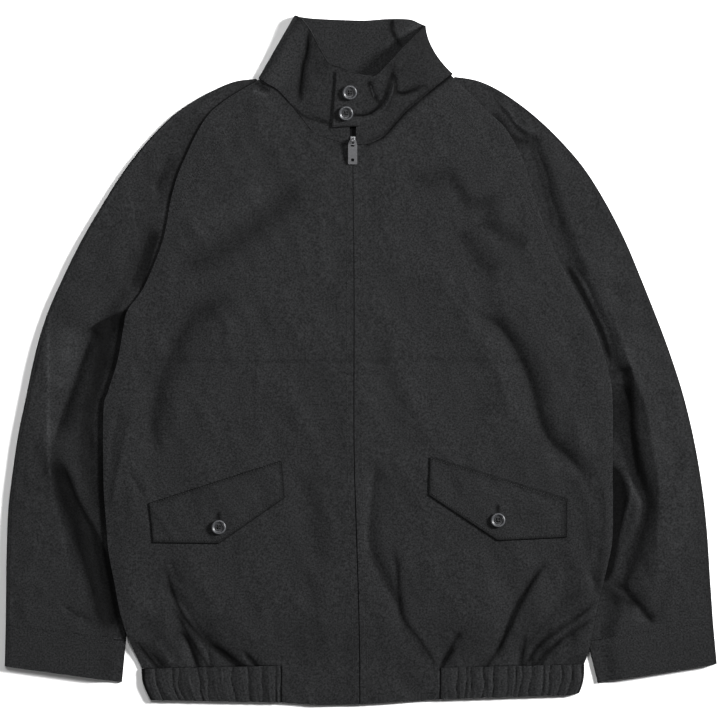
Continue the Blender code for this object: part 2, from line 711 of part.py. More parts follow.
def boolean(target, cutter, operation):
    cut = target.modifiers.new(cutter.name, "BOOLEAN")
    cut.operation = operation
    cut.object = cutter


def make_button(name, x, y, z, tilt):
    """A four-hole button: a turned profile with a rolled rim and a dished middle."""
    r, h = BUTTON_RADIUS, BUTTON_THICK
    profile = [(0.0, h * 0.55), (r * 0.6, h * 0.55), (r * 0.76, h), (r * 0.9, h * 0.93),
               (r, h * 0.5), (r * 0.86, 0.12), (0.0, 0.0)]
    mesh = bpy.data.meshes.new(name)
    work = bmesh.new()
    verts = [work.verts.new((px * MM, 0, pz * MM)) for px, pz in profile]
    for a, b in zip(verts, verts[1:]):
        work.edges.new((a, b))
    work.to_mesh(mesh)
    work.free()
    made = add_object(name, mesh, "button")
    made.location = Vector((x, y, z)) * MM
    made.rotation_euler = (tilt, 0, 0)
    turned = made.modifiers.new("turned", "SCREW")
    turned.steps = BUTTON_SIDES
    turned.render_steps = BUTTON_SIDES
    turned.use_merge_vertices = True
    turned.merge_threshold = 0.00001
    turned.use_normal_flip = True
    half = BUTTON_HOLE_SPACING / 2
    for number, (hole_x, hole_y) in enumerate(((half, half), (half, -half), (-half, half), (-half, -half))):
        offset = Vector((hole_x, hole_y * math.cos(tilt), hole_y * math.sin(tilt)))
        spot = Vector((x, y, z + h / 2)) + offset
        hole = make_cutter(f"{name}_hole_{number}", BUTTON_HOLE_RADIUS, 3 * h, spot, (tilt, 0, 0), sides=6)
        boolean(made, hole, "DIFFERENCE")
    made.data.shade_smooth()


def make_buttons():
    slope = math.atan(NECK_SLOPE)
    for place, (x, y) in TAB_BUTTONS.items():
        z = neck_slope(y) + TAB_GAP + COLLAR_CLOTH / math.cos(slope) + SEAM + 0.2
        make_button(f"button_neck_{place}", x, y, z, slope)
    for side, flap in FLAPS.items():
        x, y = flap["button"]
        z = front_top(side, x, y) + FLAP_GAP + FLAP_CLOTH + 2 * SEAM
        make_button(f"button_flap_{side}", x, y, z, 0.0)


# ---- zip ----
def zip_level(y):
    """z of the tape's upper face, under the fronts and, above the neck seam, under the collar's ends."""
    if y > 257.4:
        return neck_slope(y) - COLLAR_CLOTH - SEAM - 0.2
    x = zip_x(y)
    lowest = min(front_height(side, x - FACING[side] * (ZIP_CHAIN + reach), y)
                 for side in FACING for reach in (0, 5, 10))
    return lowest - 3 * SEAM


def make_zip_tape(side):
    levels = [277, 268, 259] + [256 - 22.2 * number for number in range(31)]
    grid = []
    for y in levels:
        x = zip_x(y)
        z = zip_level(y)
        grid.append([(x - FACING[side] * reach, y, z) for reach in (0.25, ZIP_CHAIN, ZIP_TAPE_WIDTH)])
    sheet(f"zip_{side}", grid, ZIP_TAPE_THICK, "down", colour="zip_tape")


def make_slider():
    mesh = bpy.data.meshes.new("zip_slider")
    work = bmesh.new()
    bmesh.ops.create_cube(work, size=1.0)
    bmesh.ops.scale(work, vec=Vector(SLIDER_SIZE) * MM, verts=work.verts)
    work.to_mesh(mesh)
    work.free()
    made = add_object("zip_slider", mesh, "metal")
    made.location = Vector((zip_x(SLIDER_Y), SLIDER_Y, SLIDER_FLOOR + SLIDER_SIZE[2] / 2)) * MM
    edge = made.modifiers.new("rounded", "BEVEL")
    edge.width = 0.8 * MM
    edge.segments = 2
    hinge = (zip_x(SLIDER_Y), SLIDER_Y, HINGE_Z)
    level = (0, math.pi / 2, 0)
    ring = make_cutter("bail_ring", BAIL_OUTER, BAIL_WIDTH, hinge, level, sides=24)
    eye = make_cutter("bail_eye", BAIL_INNER, 3 * BAIL_WIDTH, hinge, level, sides=20)
    boolean(made, ring, "UNION")
    boolean(made, eye, "DIFFERENCE")


def outline(curve, corners, radius):
    """A closed outline with rounded corners, as one spline of a flat curve."""
    points = []
    count = len(corners)
    for number, corner in enumerate(corners):
        here = Vector(corner)
        before = (Vector(corners[number - 1]) - here).normalized() * radius
        after = (Vector(corners[(number + 1) % count]) - here).normalized() * radius
        points += [here + before, here + (before + after) * 0.29, here + after]
    line = curve.splines.new("POLY")
    line.points.add(len(points) - 1)
    for spot, point in zip(line.points, points):
        spot.co = (point.x * MM, point.y * MM, 0, 1)
    line.use_cyclic_u = True


def make_pull():
    """A flat tab with a window round the slider's bail and a square eye near its end."""
    curve = bpy.data.curves.new("zip_pull", "CURVE")
    curve.dimensions = "2D"
    curve.fill_mode = "BOTH"
    curve.extrude = PULL_THICK / 2 * MM
    half, low = PULL_WIDTH / 2, -(PULL_LENGTH - 0.7)
    outline(curve, [(-half, low), (half, low), (half, -4.5), (4.0, 0.7), (-4.0, 0.7), (-half, -4.5)], 1.2)
    outline(curve, [(-2.2, -6.9), (2.2, -6.9), (2.2, -0.7), (-2.2, -0.7)], 0.5)
    outline(curve, [(-1.7, low + 3.6), (1.7, low + 3.6), (1.7, low + 7.0), (-1.7, low + 7.0)], 0.5)
    made = add_object("zip_pull", curve, "metal")
    made.location = Vector((zip_x(SLIDER_Y), SLIDER_Y, HINGE_Z)) * MM
    made.rotation_euler = (PULL_TILT, 0, 0)


clear_scene()
PARTS = collection_named("harrington_jacket")
CUTTERS = collection_named("cutters")
make_back()
for wearer_side in ("right", "left"):
    make_front(wearer_side)
    make_sleeve(wearer_side)
    make_cuff(wearer_side)
    make_flap(wearer_side)
    make_zip_tape(wearer_side)
make_hem_band()
make_collar()
make_neck_tab()
make_buttons()
make_slider()
make_pull()
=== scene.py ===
"""A harrington jacket laid flat: thin cloth shells, sewing, zip chain, trims, finishes, light and camera.

Tables are in millimetres, and MM turns them into metres. Sides are the wearer's. The floor is z = 0,
+Y runs up to the collar and +X to the wearer's left.
"""

import math

import bmesh
import bpy
import numpy as np
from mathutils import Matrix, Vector


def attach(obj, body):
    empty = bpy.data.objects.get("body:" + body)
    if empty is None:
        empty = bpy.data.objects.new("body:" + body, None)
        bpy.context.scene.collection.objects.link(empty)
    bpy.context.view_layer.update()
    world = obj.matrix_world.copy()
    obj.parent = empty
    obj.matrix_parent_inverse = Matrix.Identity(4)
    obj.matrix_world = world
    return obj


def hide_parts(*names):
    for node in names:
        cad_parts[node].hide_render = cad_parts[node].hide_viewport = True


bl_info = {
    "name": "Harrington jacket",
    "version": (1, 0, 0),
    "blender": (4, 5, 0),
    "location": "View3D > Sidebar > Jacket",
    "description": "Builds a harrington jacket laid flat, piece by piece, round its packed solids",
    "category": "Add Mesh",
}

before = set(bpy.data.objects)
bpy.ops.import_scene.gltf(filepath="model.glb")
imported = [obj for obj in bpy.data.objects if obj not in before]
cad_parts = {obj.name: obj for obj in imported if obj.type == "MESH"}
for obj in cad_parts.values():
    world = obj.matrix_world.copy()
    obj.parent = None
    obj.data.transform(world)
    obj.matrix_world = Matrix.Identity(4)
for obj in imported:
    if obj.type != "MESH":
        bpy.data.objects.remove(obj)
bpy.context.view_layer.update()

MM = 0.001
UV_SCALE = 0.01  # what a millimetre of cloth is in its weave's map
MERGE = 0.005  # points nearer than this become one
BODY = "jacket"
FACING = {"right": 1, "left": -1}  # direction of the zip, seen from each side

# ---- the cut, as the solids have it ----
SEAM = 0.3  # gap between two sewn pieces
CLOTH = 1.2  # thickness of the back, the fronts and the sleeves
BAND_CLOTH = 1.6
CUFF_CLOTH = 1.4
COLLAR_CLOTH = 1.8
TAB_CLOTH = 1.2
FLAP_CLOTH = 1.1
FOLDED = 3.2  # height of a sleeve pressed flat
TUCK = 2.0  # how far a sheet runs on under the next one at a seam
UNDERARM = 11  # the sleeve row at the underarm, where the tube closes
FACING_EDGE = 95.4  # from the middle to where a front's plain hem ends and the gathers begin
BAND_TOP = 5.8  # z of the hem band's upper face
BAND_FOLD = 2.4  # radius of the band's fold at the sides
NECK_LEVEL = 257.4  # y of the fronts' upper end at the zip
NECK_SEAM = (258, 9.6)  # y and z of the neck seam at the zip
COLLAR_TOP = (347, 22.0)  # y and z of the collar's upper edge at the zip
NECK_SLOPE = (COLLAR_TOP[1] - NECK_SEAM[1]) / (COLLAR_TOP[0] - NECK_SEAM[0])
TAB_LIFT = -0.2  # the tab lies closer than the solids' clearance
FLAP_GAP = 0.3
PULL_MIDDLE = 249  # y of the zip pull's middle
BUTTON_RADIUS = 8.8
BUTTON_THICK = 3.0
BUTTON_SIDES = 56
BUTTON_OUTLINE = [(0.0, 0.5), (0.3, 0.5), (0.58, 0.52), (0.68, 0.72), (0.78, 0.97), (0.86, 1.0),
                  (0.94, 0.88), (1.0, 0.55), (0.98, 0.3), (0.86, 0.04), (0.5, 0.0),
                  (0.0, 0.0)]  # shares of its radius and thickness
HOLE_PLACE = 1.4  # x and y of the buttons' four holes
HOLE_RADIUS = 1.05
ZIP_FINISHES = {"zip_right": "tape_weave", "zip_left": "tape_weave", "zip_slider": "zip_metal",
                "zip_pull": "zip_metal"}  # solids that show as they are
TOOTH = (1.15, 0.32, 0.3)  # half a zip tooth's x, y as a share of the pitch, and z
TOOTH_ASIDE = 0.55  # from the zip's middle to that of a tooth
TOOTH_RISE = 0.4  # from the tape to a tooth's middle

# ---- the lie of the cloth ----
TUBE_COLUMNS = 72  # columns of points on a tube's upper layer
UPPER_PART = 4  # number of the upper layer among the parts of a tube's section
FRONT_ROWS = 291  # rows of points down to the hem seam
GATHERED_COLUMNS = 94  # columns of points as far as the gathers go
FACING_COLUMNS = 42
ZIP_LEVELS = (NECK_LEVEL, 204, 84, -96, -192, -288)  # y of the points of a front's edge at the zip
ZIP_FOOT = -368  # y where the zip meets the hem seam
FRONT_RIPPLES = ((0.5, 62, 3), (0.22, 24, 4))  # height, size and seed
SLEEVE_RIPPLES = ((0.4, 50, 5), (0.2, 22, 6))
SOFT_EDGE = 30  # over what width the cloth rises from an edge
HEM_PUFF = 0.35  # share of the fronts' puff that is left at the hem seam
HEM_RISE = (-372, 70)  # where the puff begins above the hem, and over what length it grows
RAGLAN_RISE = (44, 32)  # the same for the fronts' outer edges, which rise to the sleeves' height
NECK_RISE = {"right": 1.1, "left": 1.3}  # how far the collar's seam lifts each front
ZIP_CHAIN = 0.55  # from the zip's middle to each front's edge

# ---- painted light: more than 0 paints shade on the cloth, less than 0 paints light on it ----
PAINTED_LIGHT_RANGE = (-6.0, 2.6, 2.675, 0.22)  # the most painted light and the deepest painted shade, and what each makes of the colour
EVEN_LIMITS = (-3.0, 2.2)  # the most painted light and painted shade that a plain form's slope adds
FRONT_EVEN = 3.0  # how strongly a front's slope is evened out with painted light and shade
TUBE_EVEN = 4.5  # the same for the sleeves, the cuffs and the collar
FRONT_FOLD_SHARE = 1 / 5  # share of a crease's depth that it gets as painted shade
SLEEVE_FOLD_SHARE = 1 / 6
EDGE_HIGHLIGHT = (0.4, 2.2)  # painted highlight along a front's outer edge: how much paler, and over what width
NECK_SHADE = {"right": 0.5, "left": 3.0}  # painted shade at the neck seam: the amount
NECK_SHADE_REACH = 1.8  # and over what width
PULL_SHADOW = (2.6, 4, 13)  # painted shadow under the zip pull: the amount, and half its width and height
SIDE_PAINTED_SHADE = (0.3, 6)  # painted shade beside the body on a sleeve: the amount, and over what width
SIDE_SHADE = 32  # how far from the body a sleeve lies in its shade, where its slopes get painted shade but no painted light
GROOVE_SHADE = 2.4  # painted shade in the gathers' grooves
LEAF_EDGE_SHADE = 1.4  # painted shade along the upper edge of the collar's right half
RIM_SHADE = (2.4, 1.9)  # painted shade along a flap's outline, and over what width
BUTTONHOLE = (8.0, 16.5, 2.4, 2.5)  # painted shade of the buttonhole's slit: from its button to both ends, the amount and half its width

# ---- sewing ----
ZIP_STITCH = {"right": 7.4, "left": 8.6}  # from the fronts' edges at the zip to their sewing
RAGLAN_PITCH = 5.5  # between the two rows along a raglan seam
EDGE_STITCH = 3.6  # from a flap's free edges to their sewing
SEWN_STITCH = 1.4  # from a flap's sewn edge to its sewing
CUFF_STITCH = (0.2, 6.0)  # from the wrist seam to a cuff's two rows
CUFF_STITCHES = 60
FAINT_SEAM = 1.1  # how much farther off a faint groove counts, so that it stays shallow
NO_SEAM = 30.0  # the distance where a piece has no sewing
THREAD_LIFT = 0.05
BUTTON_THREAD = (4.4, 4.0, 0.26)  # length, pitch and radius of the strands across a button

# ---- stage ----
LIGHTS = (("key", (7.2, 2.6, 3.8), 2.0, 2220), ("fill", (-0.1, 0.6, 1.6), 0.8, 16),
          ("side fill", (-2.0, -1.2, 0.7), 0.6, 16))  # name, place in metres, size and power
FLOOR_REACH = 4.0
FLOOR_GAP = 0.0002  # the floor stays this far under the cloth
VIEW_WIDTH = 0.864  # what the camera sees across, in metres
CAMERA_PLACE = (-0.0006, 0.00036, 6.0)
FILM_WIDTH = 36.0

BODY_EDGE = {
    "right": [(-122, 336), (-179, 298), (-212, 239), (-226, 198), (-237, 144), (-259, 89),
              (-279, 60), (-284, 39), (-291, 0), (-302, -36), (-308, -60), (-308, -144),
              (-305, -193), (-302, -229), (-295, -266), (-288, -303), (-278, -334), (-262, -369)],
    "left": [(109, 341), (153, 298), (176, 275), (197, 234), (212, 184), (232, 132),
             (251, 96), (275, 52), (284, 30), (297, -12), (302, -48), (302, -144),
             (302, -210), (296, -246), (284, -294), (275, -342), (268, -364)],
}
NECK_EDGE = {
    "right": [(-122, 336), (-97, 321), (-76, 297), (-56, 272), (-21, 259.6)],
    "left": [(109, 341), (86, 323), (55, 297), (28, 267), (8, 258)],
}
BACK_NECK = [(-98, 325.4), (-50, 320.8), (-6.6, 319.5), (38, 321.1), (85, 328.2)]
SLEEVE_ROWS = {
    "right": [
        (-125, 337.6, -118.5, 326.5), (-150, 334.6, -138, 314), (-175, 324.5, -158, 301),
        (-200, 311, -176, 285), (-228, 291, -190, 263), (-258, 260, -203, 236), (-286, 224, -215, 205),
        (-313, 181, -224, 170), (-335, 143, -231, 137), (-355, 103, -244, 104), (-372, 65, -262, 75),
        (-383, 34, -277.5, 50), (-392, 0, -283.5, 21), (-402, -48, -282, -22), (-411, -92, -280.5, -72),
        (-418, -140, -280, -125), (-422.5, -180, -280, -175), (-424.3, -228, -280, -225),
        (-425, -270, -280, -273), (-425.3, -300, -280.5, -312), (-425.5, -317.3, -281.2, -334.7),
    ],
    "left": [
        (113, 340, 106, 330.5), (138, 336, 128, 316), (161, 326.5, 146, 297), (186, 310.7, 163, 275),
        (212, 290.2, 179, 252), (240, 263.2, 190, 225), (268.3, 230, 200, 196), (294.4, 188.5, 210, 164),
        (317.4, 143.5, 224, 132), (336.3, 98.5, 243, 99), (353.3, 56, 262, 70), (365.2, 25, 274.5, 46),
        (375.7, -5, 284, 19), (386.7, -40, 281.5, -16), (397.2, -82, 274, -60), (405.2, -123, 270, -115),
        (411.5, -165, 269, -170), (416, -210, 269, -225), (419.2, -260, 269.5, -275),
        (421.6, -295, 270.5, -313), (422.8, -313.4, 272, -335.3),
    ],
}
CUFF_HEM = {"right": (-426.6, -366.8, -286.2, -386.0), "left": (427.4, -364.0, 284.5, -386.5)}
SIDE_LIFT = {
    "right": [(72, 0), (48, 1), (-328, 1), (-362, 0)],
    "left": [(68, 0), (44, 1), (-350, 1), (-369, 0)],
}
HEM_SEAM = [(-270, -369.6), (-95, -366), (95, -368.5), (276, -364)]
HEM_EDGE = [(-262, -400), (-251, -407.5), (-95, -410), (-51, -413.5), (0, -412.5), (95, -406.3),
            (253, -401), (266, -398.5)]
BAND_CORNER = {"right": (-262.5, -252), "left": (268.5, 262)}
GATHERS = {
    "right": [-246, -225, -219, -194, -184, -153, -135, -118, -101.5],
    "left": [254, 240.5, 228.5, 220, 204.5, 194, 185.5, 176, 160, 148, 132.5, 126.5, 116],
}
ZIP_LINE = [(-9.6, 280), (-9.3, 257), (-8.8, 204), (-8.2, 144), (-7.8, 84), (-7.8, -96), (-6.6, -144),
            (-5.4, -192), (-4.2, -240), (-2.4, -288), (-1.8, -336), (-0.6, -378), (-0.5, -414)]
# The collar from the zip round the wearer's right and the back: x, y, z at its seam, x, y, z at its top
COLLAR_ROWS = [
    (-12.8, 258.4, 9.6, -14.0, 347.0, 22.0), (-24.0, 261.2, 9.6, -26.0, 351.5, 22.0),
    (-40.0, 266.6, 9.6, -38.0, 356.0, 22.0), (-56.0, 272.8, 9.6, -50.0, 376.0, 21.0),
    (-76.0, 297.9, 9.6, -60.6, 396.0, 20.0), (-97.0, 322.1, 9.6, -69.0, 407.0, 18.0),
    (-113.0, 332.2, 9.6, -75.0, 412.0, 14.0), (-120.6, 337.6, 6.6, -78.6, 413.4, 8.0),
    (-122.0, 338.6, 3.4, -79.0, 413.5, 4.0), (-120.0, 336.2, 1.0, -77.4, 413.0, 1.0),
    (-116.0, 331.6, 0.0, -73.0, 412.0, 0.0), (-98.0, 326.2, 0.0, -57.0, 410.0, 0.0),
    (-50.0, 321.6, 0.0, -26.0, 408.4, 0.0), (-6.6, 320.3, 0.0, 5.4, 407.6, 0.0),
    (38.0, 321.9, 0.0, 32.0, 409.4, 0.0), (85.0, 329.0, 0.0, 58.0, 409.0, 0.0),
    (104.0, 336.4, 0.0, 70.0, 404.5, 0.0), (108.4, 341.0, 1.0, 75.6, 402.2, 1.2),
    (110.4, 343.6, 3.6, 77.8, 401.2, 5.0), (108.4, 342.8, 6.8, 77.0, 400.0, 10.0),
    (99.0, 335.2, 9.6, 69.0, 392.5, 17.0), (85.5, 324.4, 9.6, 59.0, 382.5, 21.0),
    (70.0, 311.4, 9.6, 47.0, 370.0, 23.0), (54.4, 298.4, 9.6, 34.0, 356.0, 23.0),
    (41.0, 283.2, 9.6, 23.0, 344.5, 22.5), (27.4, 268.4, 9.6, 13.0, 338.5, 22.0),
    (11.0, 260.2, 9.6, 5.0, 340.0, 22.0), (-6.0, 258.4, 9.6, -3.0, 343.0, 22.0),
]
COLLAR_WAIST = [(14, 0), (16, 6), (18, 8), (20, 4), (22, 0)]  # row number, how far its middle bends in
TAB_CORNERS = [(-34, 279), (14, 281), (18, 340), (-29, 345)]
TAB_BUTTONS = {"upper": (-13.0, 320.3), "lower": (-17.6, 295.6)}
FLAPS = {
    "right": {"sewn": [(-253.5, -171), (-94.5, -120)],
              "free": [(-248.5, -218.5), (-169.5, -219.5), (-91, -165)], "button": (-170, -200)},
    "left": {"sewn": [(247.8, -167), (83.4, -116)],
             "free": [(247.3, -212), (164.6, -216), (82.1, -161.6)], "button": (164.6, -191.6)},
}

# ---- creases: path, half width on its left and on its right, depth (a ridge is negative), sharpness ----
FRONT_CREASES = {
    "right": [
        ([(-231, -246.8), (-226.2, -278), (-210.6, -296), (-190.2, -327.2), (-168.6, -351.2),
          (-141, -369.2)], 10, 5, 2, 1.3),
        ([(-217.8, -302), (-190.2, -330.8), (-144.6, -365.6)], 3, 3, 1.5, 1.2),
        ([(-266.2, -339.2), (-252.6, -354.8), (-238.2, -372.8)], 4, 5, 2.6, 1.2),
        ([(-213, -326), (-205.8, -341.6), (-196.2, -372.8)], 4, 4, 2.2, 1.2),
        ([(-184.2, -341.6), (-179.4, -372.8)], 3, 3, 1.6, 1.2),
        ([(-250.2, -335.6), (-237, -350), (-225, -369.2)], 5, 5, -1.2, 1.4),
        ([(-197.4, -338), (-187.8, -369.2)], 4, 4, -1, 1.4),
        ([(-228.6, -237.2), (-216.6, -272)], 4, 4, 0.9, 1.3),
        ([(-139.8, -351.2), (-132.6, -360.8), (-120.6, -374)], 4, 4, 1.5, 1.3),
        ([(-72.6, 216.4), (-93, 191.2), (-115.8, 170.8), (-138.6, 151.6), (-166.2, 134.8),
          (-193.8, 119.2), (-216.6, 110.8), (-238.2, 103.6)], 15, 15, 3, 1.7),
        ([(-118.2, 210.4), (-150.6, 186.4), (-186.6, 166), (-216.6, 144.4)], 17, 17, -1.8, 2),
        ([(-144.6, 79.6), (-157.8, 71.2), (-183, 61.6), (-203.4, 50.8), (-214.2, 36.4), (-222.6, 18.4),
          (-232.2, -5.6), (-240.6, -29.6), (-246.6, -53.6), (-249, -89.6), (-245.4, -122)], 14, 12, 3, 1.7),
        ([(-275.4, -65.6), (-282.6, -99.2), (-294.6, -152), (-301.8, -185.6)], 8, 4, -1.2, 1.2),
        ([(-288.6, -53.6), (-297, -95.6), (-303, -143.6)], 5, 5, 0.8, 1.3),
        ([(-279, -131.6), (-268.2, -148.4), (-259.8, -164)], 3, 4, 1.2, 1.2),
        ([(-289.8, -4.4), (-279, 0.4), (-265.8, 6.4)], 2.5, 2.5, 0.9, 1.2),
        ([(-292.2, -16.4), (-275.4, -8)], 2.5, 2.5, 0.9, 1.2),
        ([(-123, 335.2), (-114.6, 331.6)], 2.5, 2.5, 0.8, 1.4),
        ([(-126.6, 324.4), (-108.6, 319.6)], 2.5, 2.5, 0.8, 1.4),
        ([(-121.8, -5.6), (-124.2, -47.6), (-118.2, -83.6), (-99, -107.6)], 2.5, 4, -0.5, 1.2),
        ([(-210.6, 2), (-120.6, 0), (-10.2, 2)], 2.2, 2.2, -0.35, 1),
        ([(-72.6, -129.2), (-60.6, -191.6), (-48.6, -257.6)], 14, 14, 1.6, 2),
        ([(-7.8, -2), (-40.2, -4)], 2.5, 2.5, 0.8, 1.3),
        ([(-7.8, -17.6), (-30.6, -15.2)], 2.5, 2.5, 0.8, 1.3),
    ],
    "left": [
        ([(129, 68.8), (143.4, 53.2), (163.8, 42.4), (186.6, 12.4), (207, -38), (215.4, -71.6),
          (227.4, -95.6), (253.8, -122), (267, -143.6), (268.2, -173.6)], 10, 10, 3.8, 1.4),
        ([(229.8, -17.6), (246.6, -47.6), (263.4, -95.6), (275.4, -131.6)], 9, 9, -0.7, 1.7),
        ([(131.4, 36.4), (161.4, 0.4), (181.8, -41.6), (191.4, -83.6)], 16, 16, -0.5, 2),
        ([(45, 216.4), (77.4, 215.2), (105, 220), (118.2, 198.4), (131.4, 187.6), (151.8, 188.8),
          (175.8, 197.2)], 10, 12, 1.8, 1.7),
        ([(115.8, 161.2), (130.2, 132.4), (147, 113.2), (168.6, 104.8)], 12, 12, 2, 1.7),
        ([(137.4, 174.4), (159, 156.4), (181.8, 144.4), (201, 131.2)], 11, 11, 1.8, 1.7),
        ([(222.6, -239.6), (205.8, -263.6), (187.8, -290), (177, -314), (167.4, -341.6),
          (157.8, -369.2)], 3.5, 9, 3.2, 1.15),
        ([(275.4, -275.6), (257.4, -284), (239.4, -293.6), (215.4, -318.8), (198.6, -341.6),
          (189, -357.2), (187.8, -372.8)], 6, 7, 2.2, 1.4),
        ([(231, -320), (216.6, -335.6), (205.8, -351.2), (202.2, -372.8)], 4, 4, 2.4, 1.2),
        ([(271.8, -249.2), (280.2, -266), (287.4, -282.8)], 6, 6, 1.8, 1.4),
        ([(253.8, -305.6), (227.4, -341.6), (221.4, -369.2)], 6, 6, -1.5, 1.4),
        ([(262.2, -327.2), (238.2, -342.8), (219, -365.6)], 4, 4, 1.8, 1.2),
        ([(21, -107.6), (12.6, -167.6), (10.2, -220.4), (23.4, -249.2), (37.8, -278), (46.2, -302),
          (51, -318.8), (63, -338)], 9, 7, 2.6, 1.3),
        ([(40.2, -230), (46.2, -275.6), (47.4, -302)], 3, 3, 0.9, 1.2),
        ([(121.8, -324.8), (115.8, -336.8), (94.2, -371.6)], 5, 5, 1.8, 1.3),
        ([(1.8, 2), (95.4, 3), (185.4, -0.8)], 2.2, 2.2, -0.35, 1),
        ([(0.6, -2), (31.8, -4)], 2.5, 2.5, 0.8, 1.3),
        ([(0.6, -18.8), (22.2, -15.2)], 2.5, 2.5, 0.8, 1.3),
    ],
}
SLEEVE_CREASES = {
    "right": [
        ([(-375.6, 72.4), (-375, 24.4), (-375, -23.6), (-375, -71.6), (-375, -116), (-371.4, -144.8),
          (-364.2, -183.2), (-355.8, -228.8), (-342.6, -287.6)], 8, 30, -1.4, 1.1),
        ([(-321, 41.2), (-322.2, 29.2), (-329.4, 12.4), (-336.6, -8), (-345, -32), (-353.4, -56),
          (-363, -83.6), (-367.8, -102.8)], 11, 10, 5, 1.2),
        ([(-324.6, 35.2), (-312.6, 42.4), (-300.6, 48.4), (-283.8, 56.8)], 6, 9, 0.8, 1.4),
        ([(-285, 60.4), (-289.8, 30.4), (-293.4, 5.2), (-299.4, -21.2)], 6, 9, 2.2, 1.4),
        ([(-366.6, -114.8), (-353.4, -134), (-339, -171.2), (-322.2, -203.6), (-307.8, -237.2),
          (-298.2, -282.8)], 4, 9, 1.6, 1.3),
        ([(-358.2, -122), (-346.2, -146), (-329.4, -182), (-313.8, -215.6),
          (-303, -246.8)], 12, 4, -0.7, 1.3),
        ([(-347.4, -119.6), (-331.8, -155.6), (-317.4, -186.8), (-307.8, -218)], 9, 4, -0.3, 1.2),
        ([(-327, -77.6), (-316.2, -113.6), (-310.2, -143.6), (-307.8, -170)], 4, 10, 1.4, 1.4),
        ([(-307.8, -227.6), (-300.6, -251.6), (-295.8, -287.6), (-286.2, -328.4)], 3, 7, 0.8, 1.4),
        ([(-358.2, -293.6), (-343.8, -303.2), (-327, -309.2)], 4, 4, 1.2, 1.3),
        ([(-177, 298), (-192.6, 271.6), (-207, 240.4), (-221.4, 206.8), (-235.8, 178)], 4, 9, 4.2, 1.4),
        ([(-219, 245.2), (-233.4, 221.2), (-249, 204.4)], 7, 7, 2.2, 1.5),
        ([(-238.2, 162.4), (-247.8, 134.8), (-256.2, 106), (-265.8, 77.2)], 4, 11, 4.8, 1.4),
        ([(-123, 337.6), (-144.6, 325.6), (-168.6, 307.6)], 3, 6, 3.2, 1.4),
        ([(-199.8, 295.6), (-186.6, 303.4), (-174.6, 308.8)], 3, 3, -2, 1.4),
        ([(-201, 287.2), (-189, 292), (-178.2, 296.8)], 3, 3, 2.6, 1.4),
    ],
    "left": [
        ([(251.4, 136), (275.4, 115.6), (287.4, 95.2), (293.4, 78.4), (307.8, 38.8),
          (322.2, -4.4)], 22, 16, -0.9, 1.3),
        ([(301.8, 54.4), (313.8, 22), (324.6, -11.6), (341.4, -54.8), (349.8, -105.2), (357, -146),
          (357, -168.8), (354.6, -226.4), (353.4, -287.6)], 30, 9, -2.6, 1.1),
        ([(241.8, 118), (259.8, 91.6), (280.2, 50.8), (295.8, 2.8)], 9, 5, 3, 1.3),
        ([(316.2, -11.6), (313.8, -38), (311.4, -59.6), (311.4, -86), (316.2, -107.6), (327, -138.8),
          (339, -172.4), (331.8, -209.6), (319.8, -245.6), (307.8, -285.2)], 13, 6, 6.5, 1.25),
        ([(297, -16.4), (311.4, -12.8), (325.8, -10.4)], 3, 9, 3, 1.4),
        ([(301.8, -21.2), (301.8, -59.6), (301.8, -100.4)], 8, 5, 2.6, 1.4),
        ([(300.6, -93.2), (311.4, -110), (319.8, -136.4), (325.8, -154.4)], 4, 8, -1.6, 1.3),
        ([(297, -134), (311.4, -142.4), (323.4, -152), (322.2, -167.6), (316.2, -189.2), (306.6, -226.4),
          (297, -269.6), (287.4, -317.6)], 2.5, 2.5, -1.7, 1.2),
        ([(301.8, -150.8), (309, -164), (306.6, -191.6), (299.4, -225.2), (289.8, -275.6)], 5, 6, 1.6, 1.4),
        ([(301.8, -257.6), (321, -280.4), (335.4, -297.2), (355.8, -323.6)], 6, 7, 3.6, 1.3),
        ([(157.8, 304), (171, 283.6), (183, 268), (201, 263.2), (217.8, 265.6)], 5, 8, 3.4, 1.4),
        ([(165, 310), (177, 298), (189, 281.2), (209.4, 270.4)], 4, 4, -1.4, 1.3),
        ([(199.8, 260.8), (213, 234.4), (220.2, 204.4), (227.4, 174.4), (235.8, 146.8)], 8, 4, 2.8, 1.4),
    ],
}
